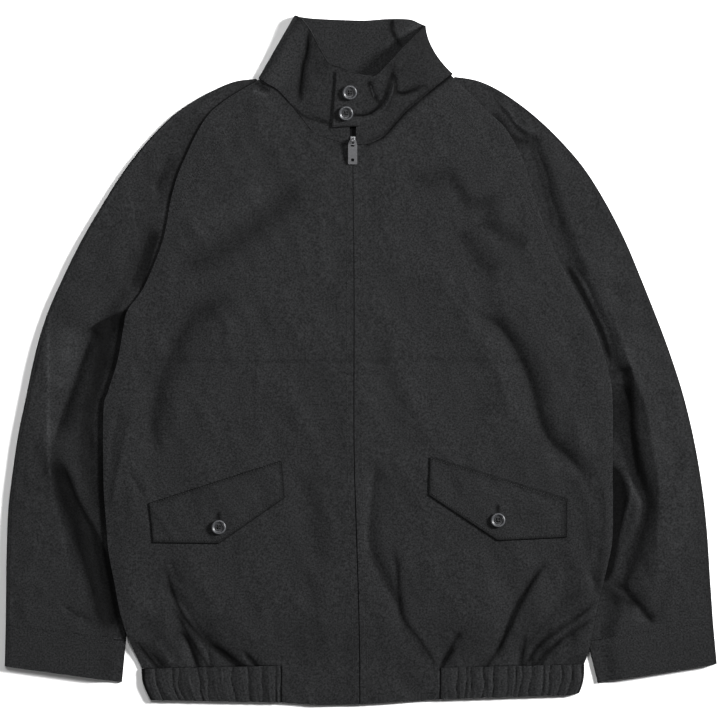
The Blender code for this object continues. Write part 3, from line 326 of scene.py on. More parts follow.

# ---- painted shade in the folds, and painted light where the amount is below 0: path, half width on its left and on its right, amount, sharpness ----
FRONT_SHADES = {
    "right": [
        ([(-72.6, 216.4), (-93, 191.2), (-115.8, 170.8), (-138.6, 151.6), (-166.2, 134.8),
          (-193.8, 119.2), (-216.6, 110.8), (-238.2, 103.6)], 14, 14, 0.3, 1.7),
        ([(-144.6, 79.6), (-157.8, 71.2), (-183, 61.6), (-203.4, 50.8), (-214.2, 36.4), (-222.6, 18.4),
          (-232.2, -5.6), (-240.6, -29.6), (-246.6, -53.6), (-249, -89.6),
          (-245.4, -122)], 12, 12, 0.5, 1.7),
        ([(-234.6, -234.8), (-226.2, -273.2), (-211.8, -306.8), (-192.6, -330.8), (-173.4, -346.4),
          (-144.6, -364.4), (-118.2, -374), (-94.2, -395.6)], 2.4, 3.6, 2.7, 1.3),
        ([(-223.8, -294.8), (-209.4, -323.6), (-197.4, -342.8), (-180.6, -370.4),
          (-166.2, -395.6)], 2.3, 2.8, 2.3, 1.3),
        ([(-271.8, -330.8), (-256.2, -352.4), (-238.2, -374), (-221.4, -395.6)], 2.3, 3, 2.4, 1.3),
        ([(-252.6, -347.6), (-240.6, -359.6), (-228.6, -374), (-214.2, -395.6)], 2.3, 2.6, 1.8, 1.3),
        ([(-219, -316.4), (-202.2, -345.2), (-191.4, -372.8), (-183, -395.6)], 2.3, 2.8, 2.3, 1.3),
        ([(-178.2, -338), (-156.6, -354.8), (-135, -374), (-115.8, -393.2)], 4, 5, 2.5, 1.3),
        ([(-144.6, -342.8), (-132.6, -354.8), (-115.8, -374), (-99, -395.6)], 2.3, 2.8, 2.3, 1.3),
        ([(-65.4, -239.6), (-54.6, -287.6), (-47.4, -335.6)], 2.5, 2.6, 0.675, 1.3),
        ([(-127.8, 334), (-118.2, 328), (-107.4, 322)], 2.3, 2.3, 2.6, 1.3),
        ([(-130.2, 325.6), (-119.4, 319.6), (-108.6, 316)], 2.3, 2.3, -1.6, 1.3),
        ([(-276.6, -0.8), (-210.6, 1.6), (-120.6, -0.1), (-5.4, 1.6)], 2.3, 2.3, 0.55, 1.2),
    ],
    "left": [
        ([(47.4, 218.8), (79.8, 214), (105, 216.4), (118.2, 198.4), (131.4, 187.6), (151.8, 188.8),
          (175.8, 197.2)], 9, 12, 0.6, 1.6),
        ([(137.4, 174.4), (159, 156.4), (181.8, 144.4), (201, 131.2)], 11, 11, 0.6, 1.6),
        ([(115.8, 161.2), (130.2, 132.4), (147, 113.2), (168.6, 104.8)], 11, 11, 0.6, 1.6),
        ([(129, 68.8), (143.4, 53.2), (163.8, 42.4), (186.6, 12.4), (207, -38), (215.4, -71.6),
          (227.4, -95.6), (253.8, -122), (267, -143.6)], 9, 9, 1, 1.4),
        ([(229.8, -234.8), (208.2, -263.6), (191.4, -294.8), (177, -326), (165, -347.6), (148.2, -374),
          (136.2, -398)], 2.3, 3, 2.4, 1.3),
        ([(289.8, -282.8), (263.4, -305.6), (234.6, -326), (210.6, -347.6), (193.8, -374),
          (181.8, -395.6)], 2.3, 3.2, 2.2, 1.3),
        ([(287.4, -304.4), (258.6, -323.6), (229.8, -342.8), (205.8, -371.6),
          (189, -395.6)], 2.3, 3.2, 2, 1.3),
        ([(246.6, -330.8), (225, -352.4), (213, -374), (202.2, -398)], 2.3, 2.6, 1.9, 1.3),
        ([(199.8, -321.2), (196.2, -345.2), (192.6, -371.6), (189, -398)], 2.3, 2.8, 2.3, 1.3),
        ([(40.2, -215.6), (45, -245.6), (47.4, -287.6), (53.4, -311.6), (71.4, -335.6),
          (97.8, -376.4)], 2.3, 2.7, 2.2, 1.3),
        ([(4.2, -222.8), (23.4, -254), (45, -294.8)], 2.3, 3, 1.4, 1.3),
        ([(124.2, -318.8), (109.8, -342.8), (93, -374)], 2.3, 2.7, 2.2, 1.3),
        ([(114.6, -342.8), (102.6, -359.6), (96.6, -374)], 2.3, 2.8, 2.3, 1.3),
        ([(288.6, -215.6), (286.2, -245.6), (287.4, -278)], 6, 4, 1, 1.5),
        ([(251.4, -126.8), (265.8, -165.2), (273, -203.6), (276.6, -242)], 5, 7, 1, 1.4),
        ([(287.4, -141.2), (292.2, -179.6), (289.8, -225.2)], 3, 5, 0.9, 1.4),
        ([(4.2, 1.6), (95.4, 2.8), (167.4, 0.4), (239.4, -2)], 2.3, 2.3, 0.55, 1.2),
    ],
}
SLEEVE_SHADES = {
    "right": [
        ([(-317.4, 46), (-322.2, 29.2), (-329.4, 12.4), (-336.6, -8), (-345, -32), (-353.4, -56),
          (-364.2, -87.2), (-372.6, -118.4)], 20, 2.2, 0.8, 1.2),
        ([(-329.4, 34), (-313.8, 42.4), (-298.2, 49.6), (-264.6, 65.2)], 2.4, 13, 4, 1.5),
        ([(-281.4, 72.4), (-287.4, 30.4), (-292.2, 5.2), (-299.4, -23.6)], 3, 9, 0.8, 1.3),
        ([(-370.2, -110), (-353.4, -131.6), (-339, -170), (-321, -202.4), (-304.2, -234.8),
          (-293.4, -275.6)], 2.6, 15, 1.8, 1.4),
        ([(-379.8, -83.6), (-367.8, -124.4), (-354.6, -162.8), (-340.2, -198.8), (-323.4, -234.8),
          (-307.8, -278), (-293.4, -335.6)], 13, 15, 1.9, 2.6),
        ([(-374.4, 72.4), (-374.4, 12.4), (-374.4, -47.6), (-373.8, -95.6), (-372.6, -131.6),
          (-369, -167.6), (-360.6, -203.6), (-353.4, -230)], 2.3, 2.3, -1.2, 1.5),
        ([(-331.8, -191.6), (-315, -230), (-303, -269.6), (-291, -328.4)], 9, 19, 1.9, 1.8),
        ([(-300.6, 48.4), (-309, -5.6), (-317.4, -53.6), (-324.6, -95.6), (-322.2, -137.6),
          (-311.4, -185.6), (-305.4, -215.6)], 14, 14, 0.9, 2.5),
        ([(-343.8, 46), (-351, 18.4), (-357, -11.6), (-360.6, -38)], 14, 14, -1.2, 2),
        ([(-306.6, -83.6), (-309, -131.6), (-309, -173.6), (-305.4, -221.6)], 3, 6, 1.6, 1.3),
        ([(-355.8, -303.2), (-336.6, -306.8), (-317.4, -311.6)], 2.5, 4, 0.8, 1.3),
        ([(-177, 298), (-192.6, 271.6), (-207, 240.4), (-221.4, 206.8), (-235.8, 178)], 2, 8, 1.2, 1.3),
        ([(-238.2, 162.4), (-247.8, 134.8), (-256.2, 106), (-265.8, 77.2)], 2, 9, 1.5, 1.3),
        ([(-219, 245.2), (-233.4, 221.2), (-249, 204.4)], 7, 7, 0.4, 1.5),
    ],
    "left": [
        ([(153, 302.8), (171, 283.6), (183, 268), (201, 263.2), (217.8, 265.6)], 4, 8, 1.3, 1.4),
        ([(201, 260.8), (211.8, 234.4), (220.2, 204.4), (227.4, 174.4), (235.8, 146.8)], 10, 2, 0.7, 1.4),
        ([(241.8, 125.2), (253.8, 103.6), (267, 79.6), (283.8, 46), (294.6, 19.6),
          (303, -14)], 4, 3, 3.4, 1.6),
        ([(265.8, 118), (282.6, 84.4), (299.4, 46), (313.8, 10), (323.4, -14)], 5, 7, -2.6, 1.6),
        ([(298.2, -12.8), (311.4, -11.6), (324.6, -10.4)], 1.6, 6, 1.2, 1.4),
        ([(323.4, -6.8), (323.4, -47.6), (327, -83.6), (335.4, -122), (347.4, -167.6)], 6, 11, 2.5, 1.4),
        ([(301.8, -21.2), (303, -59.6), (301.8, -100.4)], 6, 4, 0.7, 1.4),
        ([(294.6, -117.2), (307.8, -141.2), (312.6, -162.8), (309, -185.6), (301.8, -221.6),
          (292.2, -275.6)], 6, 8, 6.5, 2),
        ([(330.6, -143.6), (347.4, -165.2), (339, -203.6), (328.2, -239.6), (313.8, -281.6)], 9, 9, 1, 1.4),
        ([(304.2, -257.6), (321, -280.4), (335.4, -297.2), (353.4, -320)], 3, 5, 1.5, 1.3),
        ([(289.8, -268.4), (306.6, -282.8), (323.4, -290), (335.4, -294.8)], 6, 10, 1.6, 1.5),
    ],
}
COLLAR_CREASES = [
    ([(-60, 402), (-62, 388), (-63, 370), (-68, 351), (-71.5, 322), (-72.5, 312),
      (-71, 300)], 2.5, 4, 2.2, 1.2),
    ([(-55, 385), (-58, 350), (-62, 318)], 9, 12, -1.2, 1.6),
    ([(42, 352), (39, 341), (36.6, 330), (33, 321), (27, 307.6), (17.4, 298), (5.4, 293),
      (-9, 294)], 3.0, 2.2, 3.2, 1.2),
    ([(41, 336), (39, 322), (33, 308), (23, 298)], 3, 3, -1.6, 1.4),
    ([(38, 345), (43, 332), (44, 321), (52, 319), (68, 325.6), (79, 332)], 3, 4, 2.2, 1.3),
    ([(26, 339), (28, 330), (26, 320)], 6, 6, -1.4, 1.8),
    ([(11, 334), (16, 317), (24, 309)], 3, 3, 1.8, 1.3),
    ([(32, 358), (42, 352), (52, 348)], 4, 6, -1.2, 1.6),
    ([(-84, 310), (-70, 296), (-52, 289), (-34, 283)], 2.0, 3.0, 1.6, 1.2),
]
COLLAR_BACK_CREASES = [
    ([(39, 408), (34, 380), (24, 350), (20, 335)], 4, 12, -1.2, 1.3),
    ([(52, 372), (62, 392), (74, 404)], 5, 5, -0.8, 1.4),
]
TAB_CREASES = [
    ([(17.4, 298), (5.4, 293), (-7, 294), (-12, 296)], 3.0, 2.2, 1.2, 1.2),
    ([(-8, 303.4), (-2, 307), (6, 310)], 2.0, 2.0, 0.7, 1.2),
    ([(-4, 321), (4, 323), (12, 320)], 3, 3, 0.6, 1.4),
]
COLLAR_SHADES = [
    ([(-60, 400), (-61.5, 388), (-63, 370), (-68, 351), (-71.5, 322), (-73, 304)], 1.8, 3.0, 3.4, 1.3),
    ([(-55, 392), (-56, 370), (-54, 350), (-50, 332)], 10, 10, 0.7, 1.6),
    ([(-106, 318), (-92, 350), (-80, 384), (-72, 412)], 13, 13, -0.9, 1.8),
    ([(41, 350), (39, 341), (36.6, 330), (33, 321), (27, 307.6), (17.4, 298), (5.4, 293),
      (-12, 294)], 1.6, 2.0, 2.2, 1.4),
    ([(38, 346), (42, 336), (44, 323), (52, 320), (68, 324.6), (82, 333)], 1.8, 3.0, 2.4, 1.4),
    ([(10, 338), (14, 322), (20, 312), (28, 306)], 2.4, 2.4, 2.6, 1.4),
    ([(-86, 310), (-69, 293.8), (-51, 287.2), (-30, 282)], 1.5, 1.8, 2.6, 1.3),
    ([(-6, 259.5), (27, 270), (54, 300), (86, 326), (104, 338)], 1.6, 1.6, 1.4, 1.3),
    ([(24, 348), (34, 354), (48, 352)], 5, 5, 0.5, 1.6),
]
COLLAR_BACK_SHADES = [
    ([(80, 408), (62, 391), (36, 368), (9, 343), (-6, 332)], 9, 9, -2.2, 3.0),
    ([(39, 414), (38, 398), (42, 388), (52, 373)], 2.4, 3.2, 3.6, 1.4),
]
TAB_SHADES = [
    ([(24, 304), (11.4, 295.6), (-4, 293), (-14, 296)], 1.8, 2.0, 3.4, 1.4),
    ([(-34, 279), (-29, 345)], 1.2, 1.2, 1.6, 1.3),
    ([(-34, 279), (-10, 280), (14, 281)], 1.2, 1.2, 2.0, 1.3),
    ([(-8, 303.4), (-2, 307), (6, 310)], 1.6, 1.6, 0.9, 1.3),
]

# ---- the first row of sewing along each raglan seam: x, y ----
RAGLAN_STITCH = {
    "right": [(-109, 326), (-140, 298), (-172, 262), (-189, 242), (-202, 219), (-212, 201), (-226, 174)],
    "left": [(106, 318), (131, 288), (159, 255), (182, 226), (196, 204.4), (207, 181.6), (220, 155),
             (230, 132)],
}


# ---- curves and fields ----
def smooth(share):
    """An even rise from 0 to 1 with soft ends, as the share runs from 0 to 1."""
    share = np.clip(share, 0.0, 1.0)
    return share * share * (3 - 2 * share)


def rounded(share):
    """A quarter circle's height over its foot."""
    return np.sqrt(1 - (1 - np.clip(share, 0.0, 1.0)) ** 2)


def spline(rows, places):
    """Catmull-Rom through the rows of a table, at places from 0 to the last row's number."""
    rows = np.asarray(rows, float)
    places = np.asarray(places, float)
    last = len(rows) - 1
    index = np.minimum(places.astype(int), last - 1)
    t = (places - index)[..., None]
    a, b, c, d = (rows[np.clip(index + step, 0, last)] for step in (-1, 0, 1, 2))
    square, cube = 2 * a - 5 * b + 4 * c - d, 3 * b - a - 3 * c + d
    return 0.5 * (2 * b + (c - a) * t + square * t ** 2 + cube * t ** 3)


def run_along(points):
    """The length of a polyline up to each of its points."""
    return np.concatenate([[0.0], np.cumsum(np.linalg.norm(np.diff(points, axis=0), axis=1))])


def at_shares(points, shares):
    """Points of a smooth curve through the points, at shares of the polyline's length."""
    rows = np.asarray(points, float)
    ends = run_along(rows)
    return spline(rows, np.interp(np.asarray(shares) * ends[-1], ends, np.arange(len(rows))))


def dense(points, per_step=8):
    """The smooth curve through the points as a finer polyline."""
    return spline(points, np.linspace(0, len(points) - 1, per_step * (len(points) - 1) + 1))


def across(rows, y):
    """x of a line whose rows run down in y, at these values of y."""
    rows = np.asarray(rows, float)
    return np.interp(-np.asarray(y, float), -rows[:, 1], rows[:, 0])


def along(rows, x):
    """y of a line whose rows run up in x, at these values of x."""
    rows = np.asarray(rows, float)
    return np.interp(x, rows[:, 0], rows[:, 1])


def at_even(line, step):
    """Points at even steps along a polyline."""
    line = np.asarray(line, float)
    run = run_along(line)
    places = np.linspace(0, run[-1], max(int(run[-1] / step), 2))
    return np.column_stack([np.interp(places, run, line[:, k]) for k in range(line.shape[1])])


def inset(points, gap):
    """A line of x and y moved aside by a gap, to its left when that is above 0, its corners kept."""
    points = np.asarray(points, float)
    steps = np.diff(points, axis=0)
    normals = np.stack([-steps[:, 1], steps[:, 0]], axis=1) / np.linalg.norm(steps, axis=1)[:, None]
    ends = np.concatenate([normals[:1], normals[:-1] + normals[1:], normals[-1:]])
    ends /= np.linalg.norm(ends, axis=1)[:, None]
    return points + ends * gap / (ends * np.concatenate([normals[:1], normals])).sum(axis=1)[:, None]


def line_distance(line, x, y):
    """How far points lie from a line, how far along it, from 0 to 1, and 1 on its left side."""
    best, share, side = np.full(x.shape, 1e9), np.zeros(x.shape), np.zeros(x.shape)
    steps = np.linalg.norm(np.diff(line, axis=0), axis=1)
    run = run_along(line)
    for (x0, y0), (x1, y1), step, start in zip(line, line[1:], steps, run):
        t = np.clip(((x - x0) * (x1 - x0) + (y - y0) * (y1 - y0)) / step ** 2, 0, 1)
        dx, dy = x - x0 - t * (x1 - x0), y - y0 - t * (y1 - y0)
        gap = np.hypot(dx, dy)
        near = gap < best
        best = np.where(near, gap, best)
        share = np.where(near, (start + t * step) / run[-1], share)
        side = np.where(near, np.sign((x1 - x0) * dy - (y1 - y0) * dx), side)
    return best, share, side


def crease_field(creases, x, y):
    """What the entries of a table add up to at arrays of points. Each one fades out at its two ends."""
    total = np.zeros(x.shape)
    for path, left, right, depth, sharp in creases:
        line = dense(path, 5)
        reach = 3.2 * max(left, right)
        low, high = line.min(axis=0) - reach, line.max(axis=0) + reach
        near = (x > low[0]) & (x < high[0]) & (y > low[1]) & (y < high[1])
        if not near.any():
            continue
        gap, share, side = line_distance(line, x[near], y[near])
        width = np.where(side > 0, left, right)
        fade = smooth(np.minimum(share, 1 - share) / 0.2)
        total[near] += depth * fade * np.exp(-(gap / width) ** sharp)
    return total


def wander(x, y, size, seed):
    """Slow, even noise from -1 to 1: sums of a few waves whose bends have this size."""
    random = np.random.default_rng(seed)
    total = np.zeros(np.shape(x))
    for _ in range(9):
        angle, phase = random.uniform(0, math.tau), random.uniform(0, math.tau)
        stretch = random.uniform(0.6, 1.6)
        total += np.sin((x * math.cos(angle) + y * math.sin(angle)) * math.tau / (size * stretch) + phase)
    return total / 4.5


def crumple(x, y, size, seed):
    """Facets of about this size with soft ridges, from -1 to 1: folded waves on a bent plane."""
    random = np.random.default_rng(seed)
    bent_x = x + 0.35 * size * wander(x, y, 2.2 * size, seed + 50)
    bent_y = y + 0.35 * size * wander(x, y, 2.6 * size, seed + 51)
    total = np.zeros(np.shape(x))
    for _ in range(4):
        angle, phase = random.uniform(0, math.tau), random.uniform(0, math.tau)
        stretch = random.uniform(0.8, 1.5)
        spot = (bent_x * math.cos(angle) + bent_y * math.sin(angle)) / (size * stretch) + phase
        total += 1 - 2 * np.sqrt(np.sin(math.pi * spot) ** 2 + 0.02)
    return total / 2.2


def ripples(x, y, layers):
    """Fine folds: layers of crumple, each with its height, size and seed."""
    return sum(height * crumple(x, y, size, seed) for height, size, seed in layers)


# ---- heights, as the solids have them ----
DENSE_EDGE = {side: dense(BODY_EDGE[side], 10) for side in FACING}


def edge_distance(side, x, y):
    """How far points lie inside the body's outer edge; below 0 they lie outside it."""
    return (x - across(DENSE_EDGE[side], y)) * FACING[side]


def sleeve_inner_x(side, y):
    """x of the inner edge of a sleeve and its cuff, under the body."""
    rows = [row[2:] for row in SLEEVE_ROWS[side][UNDERARM:]] + [CUFF_HEM[side][2:]]
    return across(rows, y)


def side_lift(side, x, y):
    """How far a sleeve lifts the back that lies over its inner edge."""
    rows = np.asarray(SIDE_LIFT[side], float)
    full = (FOLDED + 2 * SEAM) * smooth(np.interp(-y, -rows[:, 0], rows[:, 1]))
    cover = np.maximum((sleeve_inner_x(side, y) - across(DENSE_EDGE[side], y)) * FACING[side], 0.0)
    return full * (1 - smooth((edge_distance(side, x, y) - cover - 3) / SOFT_EDGE))


def back_height(x, y):
    """z of the back's underside."""
    return np.maximum(side_lift("right", x, y), side_lift("left", x, y))


def zip_x(y):
    """x of the zip's middle."""
    return across(ZIP_LINE, y)


def neck_rise(side, x, y):
    """How far the collar's seam draws a front up, away from the zip."""
    gap = line_distance(np.asarray(NECK_EDGE[side], float), x, y)[0]
    return NECK_RISE[side] * np.exp(-gap / 25) * smooth((np.abs(x - zip_x(y)) - 6) / 20)


def front_height(side, x, y, folded=True):
    """z of a front's underside, with or without its folds."""
    puff = bpy.context.scene.jacket_sizes.front_puff / MM
    inside = np.maximum(edge_distance(side, x, y), 0.0)
    resting = back_height(x, y) + CLOTH + 2 * SEAM
    raglan = (FOLDED + SEAM - CLOTH) * smooth((y - RAGLAN_RISE[0]) / RAGLAN_RISE[1])
    hem = HEM_PUFF + (1 - HEM_PUFF) * smooth((y - HEM_RISE[0]) / HEM_RISE[1])
    lift = raglan + (puff * hem - raglan) * (1 - np.exp(-inside / SOFT_EDGE))
    if not folded:
        return resting + lift
    folds = crease_field(FRONT_CREASES[side], x, y) * smooth(inside / 14)
    calm = smooth(inside / SOFT_EDGE) * smooth(np.abs(x - zip_x(y)) / 25)
    ripple = ripples(x, y, FRONT_RIPPLES) * calm
    return resting + np.maximum(lift - folds, np.minimum(raglan, lift)) + ripple + neck_rise(side, x, y)


def front_top(side, x, y):
    """z of a front's upper face."""
    return front_height(side, x, y) + CLOTH


def neck_slope(y):
    """z of the collar's outer face where it slopes up in front."""
    return NECK_SEAM[1] + (y - NECK_SEAM[0]) * NECK_SLOPE


# ---- meshes ----
def cloth_uv(grid):
    """Lengths along and across a grid of points, in millimetres, for the weave."""
    steps = np.linalg.norm(np.diff(grid, axis=1), axis=2)
    u = np.concatenate([np.zeros((len(grid), 1)), np.cumsum(steps, axis=1)], axis=1)
    v = run_along(grid[:, grid.shape[1] // 2])
    return np.stack([u, np.repeat(v[:, None], grid.shape[1], axis=1)], axis=2)


def grid_faces(grid, keep, grow):
    """The faces of a grid's kept cells, turned outwards, and the numbers of the points that they use."""
    rows, columns = grid.shape[:2]
    cell_i, cell_j = np.meshgrid(np.arange(rows - 1), np.arange(columns - 1), indexing="ij")
    corner = cell_i * columns + cell_j
    faces = np.stack([corner, corner + columns, corner + columns + 1, corner + 1], axis=2)
    faces = faces[keep] if keep is not None else faces.reshape(-1, 4)
    used, compact = np.unique(faces, return_inverse=True)
    faces = compact.reshape(-1, 4)
    points = grid.reshape(-1, 3)[used]
    a, b, c = (points[faces[:, k]] for k in (0, 1, 3))
    facing = np.cross(b - a, c - a)[:, 2]
    if grow == "inwards":
        facing = facing * (points[faces].mean(axis=1)[:, 2] - points[:, 2].mean())
    return (faces[:, ::-1] if facing.sum() < 0 else faces), used


def point_values(mesh, name, values):
    """Store a value at each of the mesh's points, for its finish."""
    mesh.attributes.new(name, "FLOAT", "POINT").data.foreach_set("value", values.astype(np.float32))


def seam_distance(points, seams, faint):
    """How far points lie from the nearest sewing line. A faint one counts as farther off."""
    distance = np.full(len(points), NO_SEAM)
    for line, rise in [(line, 0.0) for line in seams] + [(line, FAINT_SEAM) for line in faint]:
        line = np.asarray(line, float)
        distance = np.minimum(distance, rise + line_distance(line[:, :2], points[:, 0], points[:, 1])[0])
    return distance


def linked(name, mesh, material):
    """A new object in the scene with this mesh and finish."""
    mesh.materials.append(material)
    made = bpy.data.objects.new(name, mesh)
    bpy.context.scene.collection.objects.link(made)
    return made


def shell(name, grid, material, keep=None, thickness=CLOTH, grow="up", seams=(), faint=(), painted_light=0.0):
    """A sheet of cloth with a wall, on a grid of points in millimetres. keep says which cells have a face,
    seams and faint hold the sewing lines that the finish draws as grooves, and the last argument holds the
    painted light and shade for each point."""
    grid = np.asarray(grid, float)
    faces, used = grid_faces(grid, keep, grow)
    points = grid.reshape(-1, 3)[used]
    mesh = bpy.data.meshes.new(name)
    mesh.from_pydata((points * MM).tolist(), [], faces.tolist())
    lengths = cloth_uv(grid).reshape(-1, 2)[used]
    layer = mesh.uv_layers.new(name="cloth")
    layer.data.foreach_set("uv", (lengths[faces.reshape(-1)] * UV_SCALE).astype(np.float32).reshape(-1))
    point_values(mesh, "seam_mm", seam_distance(points, seams, faint))
    point_values(mesh, "painted_light", np.broadcast_to(painted_light, grid.shape[:2]).reshape(-1)[used])
    mesh.shade_smooth()
    made = linked(name, mesh, material)
    work = bmesh.new()
    work.from_mesh(mesh)
    bmesh.ops.remove_doubles(work, verts=work.verts, dist=MERGE * MM)
    work.to_mesh(mesh)
    work.free()
    wall = made.modifiers.new("wall", "SOLIDIFY")
    wall.thickness = thickness * MM
    wall.offset = 1 if grow == "up" else -1
    return made


def dress(piece, slot, *nodes):
    """The piece rides on the jacket and stands for its solids, which it hides; slot is not used."""
    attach(piece, BODY)
    if nodes:
        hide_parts(*nodes)


def patch(top, bottom, left, right, columns, rows):
    """A grid of x and y between four smooth edges, at shares of their lengths."""
    u, v = np.asarray(columns)[None, :, None], np.asarray(rows)[:, None, None]
    tops, bottoms = at_shares(top, columns)[None], at_shares(bottom, columns)[None]
    lefts, rights = at_shares(left, rows)[:, None], at_shares(right, rows)[:, None]
    a, b, c, d = (np.asarray(corner, float) for corner in (left[0], left[-1], right[0], right[-1]))
    corners = (1 - u) * ((1 - v) * a + v * b) + u * ((1 - v) * c + v * d)
    return (1 - u) * lefts + u * rights + (1 - v) * tops + v * bottoms - corners


def evening(grid, strength):
    """Painted light and shade for a plain form: shade where it slopes down to +X, toward the key light,
    light where it slopes down to -X.
    """
    normals = np.cross(np.gradient(grid, axis=0), np.gradient(grid, axis=1))
    normals /= np.maximum(np.linalg.norm(normals, axis=2), 1e-9)[..., None]
    return np.clip(strength * normals[..., 0] * np.sign(normals[..., 2]), *EVEN_LIMITS)


def rim(grid, strength, reach):
    """Deep painted shade along the outline of a grid of points."""
    outline = np.concatenate([grid[0], grid[:, -1], grid[-1, ::-1], grid[::-1, 0]])[:, :2]
    keep = np.concatenate([[True], np.linalg.norm(np.diff(outline, axis=0), axis=1) > 1e-6])
    gap = line_distance(outline[keep], grid[..., 0], grid[..., 1])[0]
    return strength * np.exp(-gap / reach)


def firm_ends(values, edge):
    """The values with one more beside each end, so that a sheet's edge keeps its smooth shading narrow."""
    return np.concatenate([values[:1], [values[0] + edge], values[1:-1], [values[-1] - edge], values[-1:]])


# ---- body ----
def back_edge(side):
    """The back's edge on one side: beside the sleeve's seam down to the underarm, then the body's edge."""
    inner = spline(SLEEVE_ROWS[side], np.arange(UNDERARM + 1))[:, 2:]
    seam = []
    for number, (x, y) in enumerate(inner):
        ahead, behind = inner[min(number + 1, UNDERARM)], inner[max(number - 1, 0)]
        run = (ahead - behind) / np.linalg.norm(ahead - behind)
        gap = 1.4 * SEAM if number < UNDERARM else 5 * SEAM
        seam.append((x - run[1] * gap * FACING[side], y + run[0] * gap * FACING[side]))
    return seam + [point for point in BODY_EDGE[side] if point[1] < seam[-1][1] - 8]


def make_back(cloth):
    """The back, flat on the floor except where it lies over the sleeves."""
    right, left = back_edge("right"), back_edge("left")
    neck = [right[0], *BACK_NECK, left[0]]
    bottom = [(x, along(HEM_SEAM, x) + SEAM) for x in (right[-1][0], -95, 95, left[-1][0])]
    right[-1], left[-1] = bottom[0], bottom[-1]
    plan = patch(neck, bottom, right, left, np.linspace(0, 1, 101), np.linspace(0, 1, 121))
    x, y = plan[..., 0], plan[..., 1]
    grid = np.dstack([x, y, back_height(x, y)])
    made = shell("back_cloth", grid, cloth)
    dress(made, "cloth", "back")


def front_bottom(side):
    """The points of a front's hem seam, from its outer edge over the end of the gathers to the zip."""
    start, end = BODY_EDGE[side][-1][0], zip_x(ZIP_FOOT)
    facing = -FACING[side] * FACING_EDGE
    points = [(x, along(HEM_SEAM, x) + SEAM) for x in (start, (start + facing) / 2, facing)]
    return points + [(end - FACING[side] * ZIP_CHAIN, along(HEM_SEAM, end) + SEAM)]


def front_plan(side):
    """x and y of a front's points: from above its neck seam down to the hem seam, then its plain hem."""
    bottom = front_bottom(side)
    start, _, facing, end = (x for x, _ in bottom)
    zip_edge = [(zip_x(level) - FACING[side] * ZIP_CHAIN, level) for level in ZIP_LEVELS] + [bottom[-1]]
    kink = (facing - start) / (end - start)
    columns = np.concatenate([kink * np.linspace(0, 1, GATHERED_COLUMNS) ** 1.12,
                              kink + (1 - kink) * np.linspace(0, 1, FACING_COLUMNS)[1:]])
    outer_edge = BODY_EDGE[side][:-1] + [bottom[0]]
    plan = patch(NECK_EDGE[side] + [zip_edge[0]], bottom, outer_edge, zip_edge,
                 firm_ends(columns, 0.0006), np.linspace(0, 1, FRONT_ROWS))
    rise = plan[:1] - plan[3:4]
    above = plan[:1] + rise / np.linalg.norm(rise, axis=2)[..., None] * TUCK
    last = plan[-1]
    hem = along(HEM_EDGE, last[:, 0])
    downs = firm_ends(np.linspace(0, 1, 14), 0.005)[1:, None]
    below = np.dstack([np.repeat(last[None, :, 0], len(downs), axis=0),
                       last[None, :, 1] + (hem - last[:, 1])[None] * downs])
    return np.concatenate([above, plan, below])


def zip_lines(side):
    """The row of sewing beside the zip."""
    levels = np.linspace(250, -405, 120)
    reach = ZIP_CHAIN + ZIP_STITCH[side]
    return [np.stack([zip_x(levels) - FACING[side] * reach, levels], axis=1)]


def raglan_lines(side):
    """The two rows of sewing along the raglan seam."""
    line = dense(RAGLAN_STITCH[side], 6)
    run = np.gradient(line, axis=0)
    run /= np.linalg.norm(run, axis=1)[:, None]
    offset = np.stack([-run[:, 1], run[:, 0]], axis=1) * FACING[side] * RAGLAN_PITCH
    return [line, line + offset]


def front_painted_light(side, x, y):
    """Painted light of a front: painted shade in its folds, painted light and shade evening its slopes, a
    painted highlight along its outer edge, painted shade at the neck seam and a painted shadow under the
    zip pull.
    """
    painted_light = crease_field(FRONT_CREASES[side], x, y) * FRONT_FOLD_SHARE
    painted_light += crease_field(FRONT_SHADES[side], x, y)
    painted_light += evening(np.dstack([x, y, front_height(side, x, y, folded=False)]), FRONT_EVEN)
    # a painted highlight along the crest of the front's outer edge
    wear_and_highlight, width = EDGE_HIGHLIGHT
    painted_light -= wear_and_highlight * np.exp(-np.maximum(edge_distance(side, x, y), 0) / width)
    neck_gap = line_distance(np.asarray(NECK_EDGE[side], float), x, y)[0]
    painted_light += NECK_SHADE[side] * np.exp(-neck_gap / NECK_SHADE_REACH)
    amount, across_pull, along_pull = PULL_SHADOW
    return painted_light + amount * (np.abs(x - zip_x(y)) < across_pull) * (np.abs(y - PULL_MIDDLE) < along_pull)


def make_front(side, cloth):
    """A front that is tucked under the collar, and under the hem band as far as the gathers go."""
    plan = front_plan(side)
    x, y = plan[..., 0], plan[..., 1]
    z = front_height(side, x, y)
    z[0] -= 0.5
    under_band = np.s_[FRONT_ROWS + 1:, :GATHERED_COLUMNS]
    z[under_band] = np.minimum(z[under_band], BAND_TOP - BAND_CLOTH - CLOTH - SEAM)
    keep = np.ones((len(plan) - 1, plan.shape[1] - 1), bool)
    keep[under_band] = False
    made = shell(f"front_{side}_cloth", np.dstack([x, y, z]), cloth, keep, seams=[FLAPS[side]["sewn"]],
                 faint=zip_lines(side) + raglan_lines(side), painted_light=front_painted_light(side, x, y))
    dress(made, "cloth", f"front_{side}")


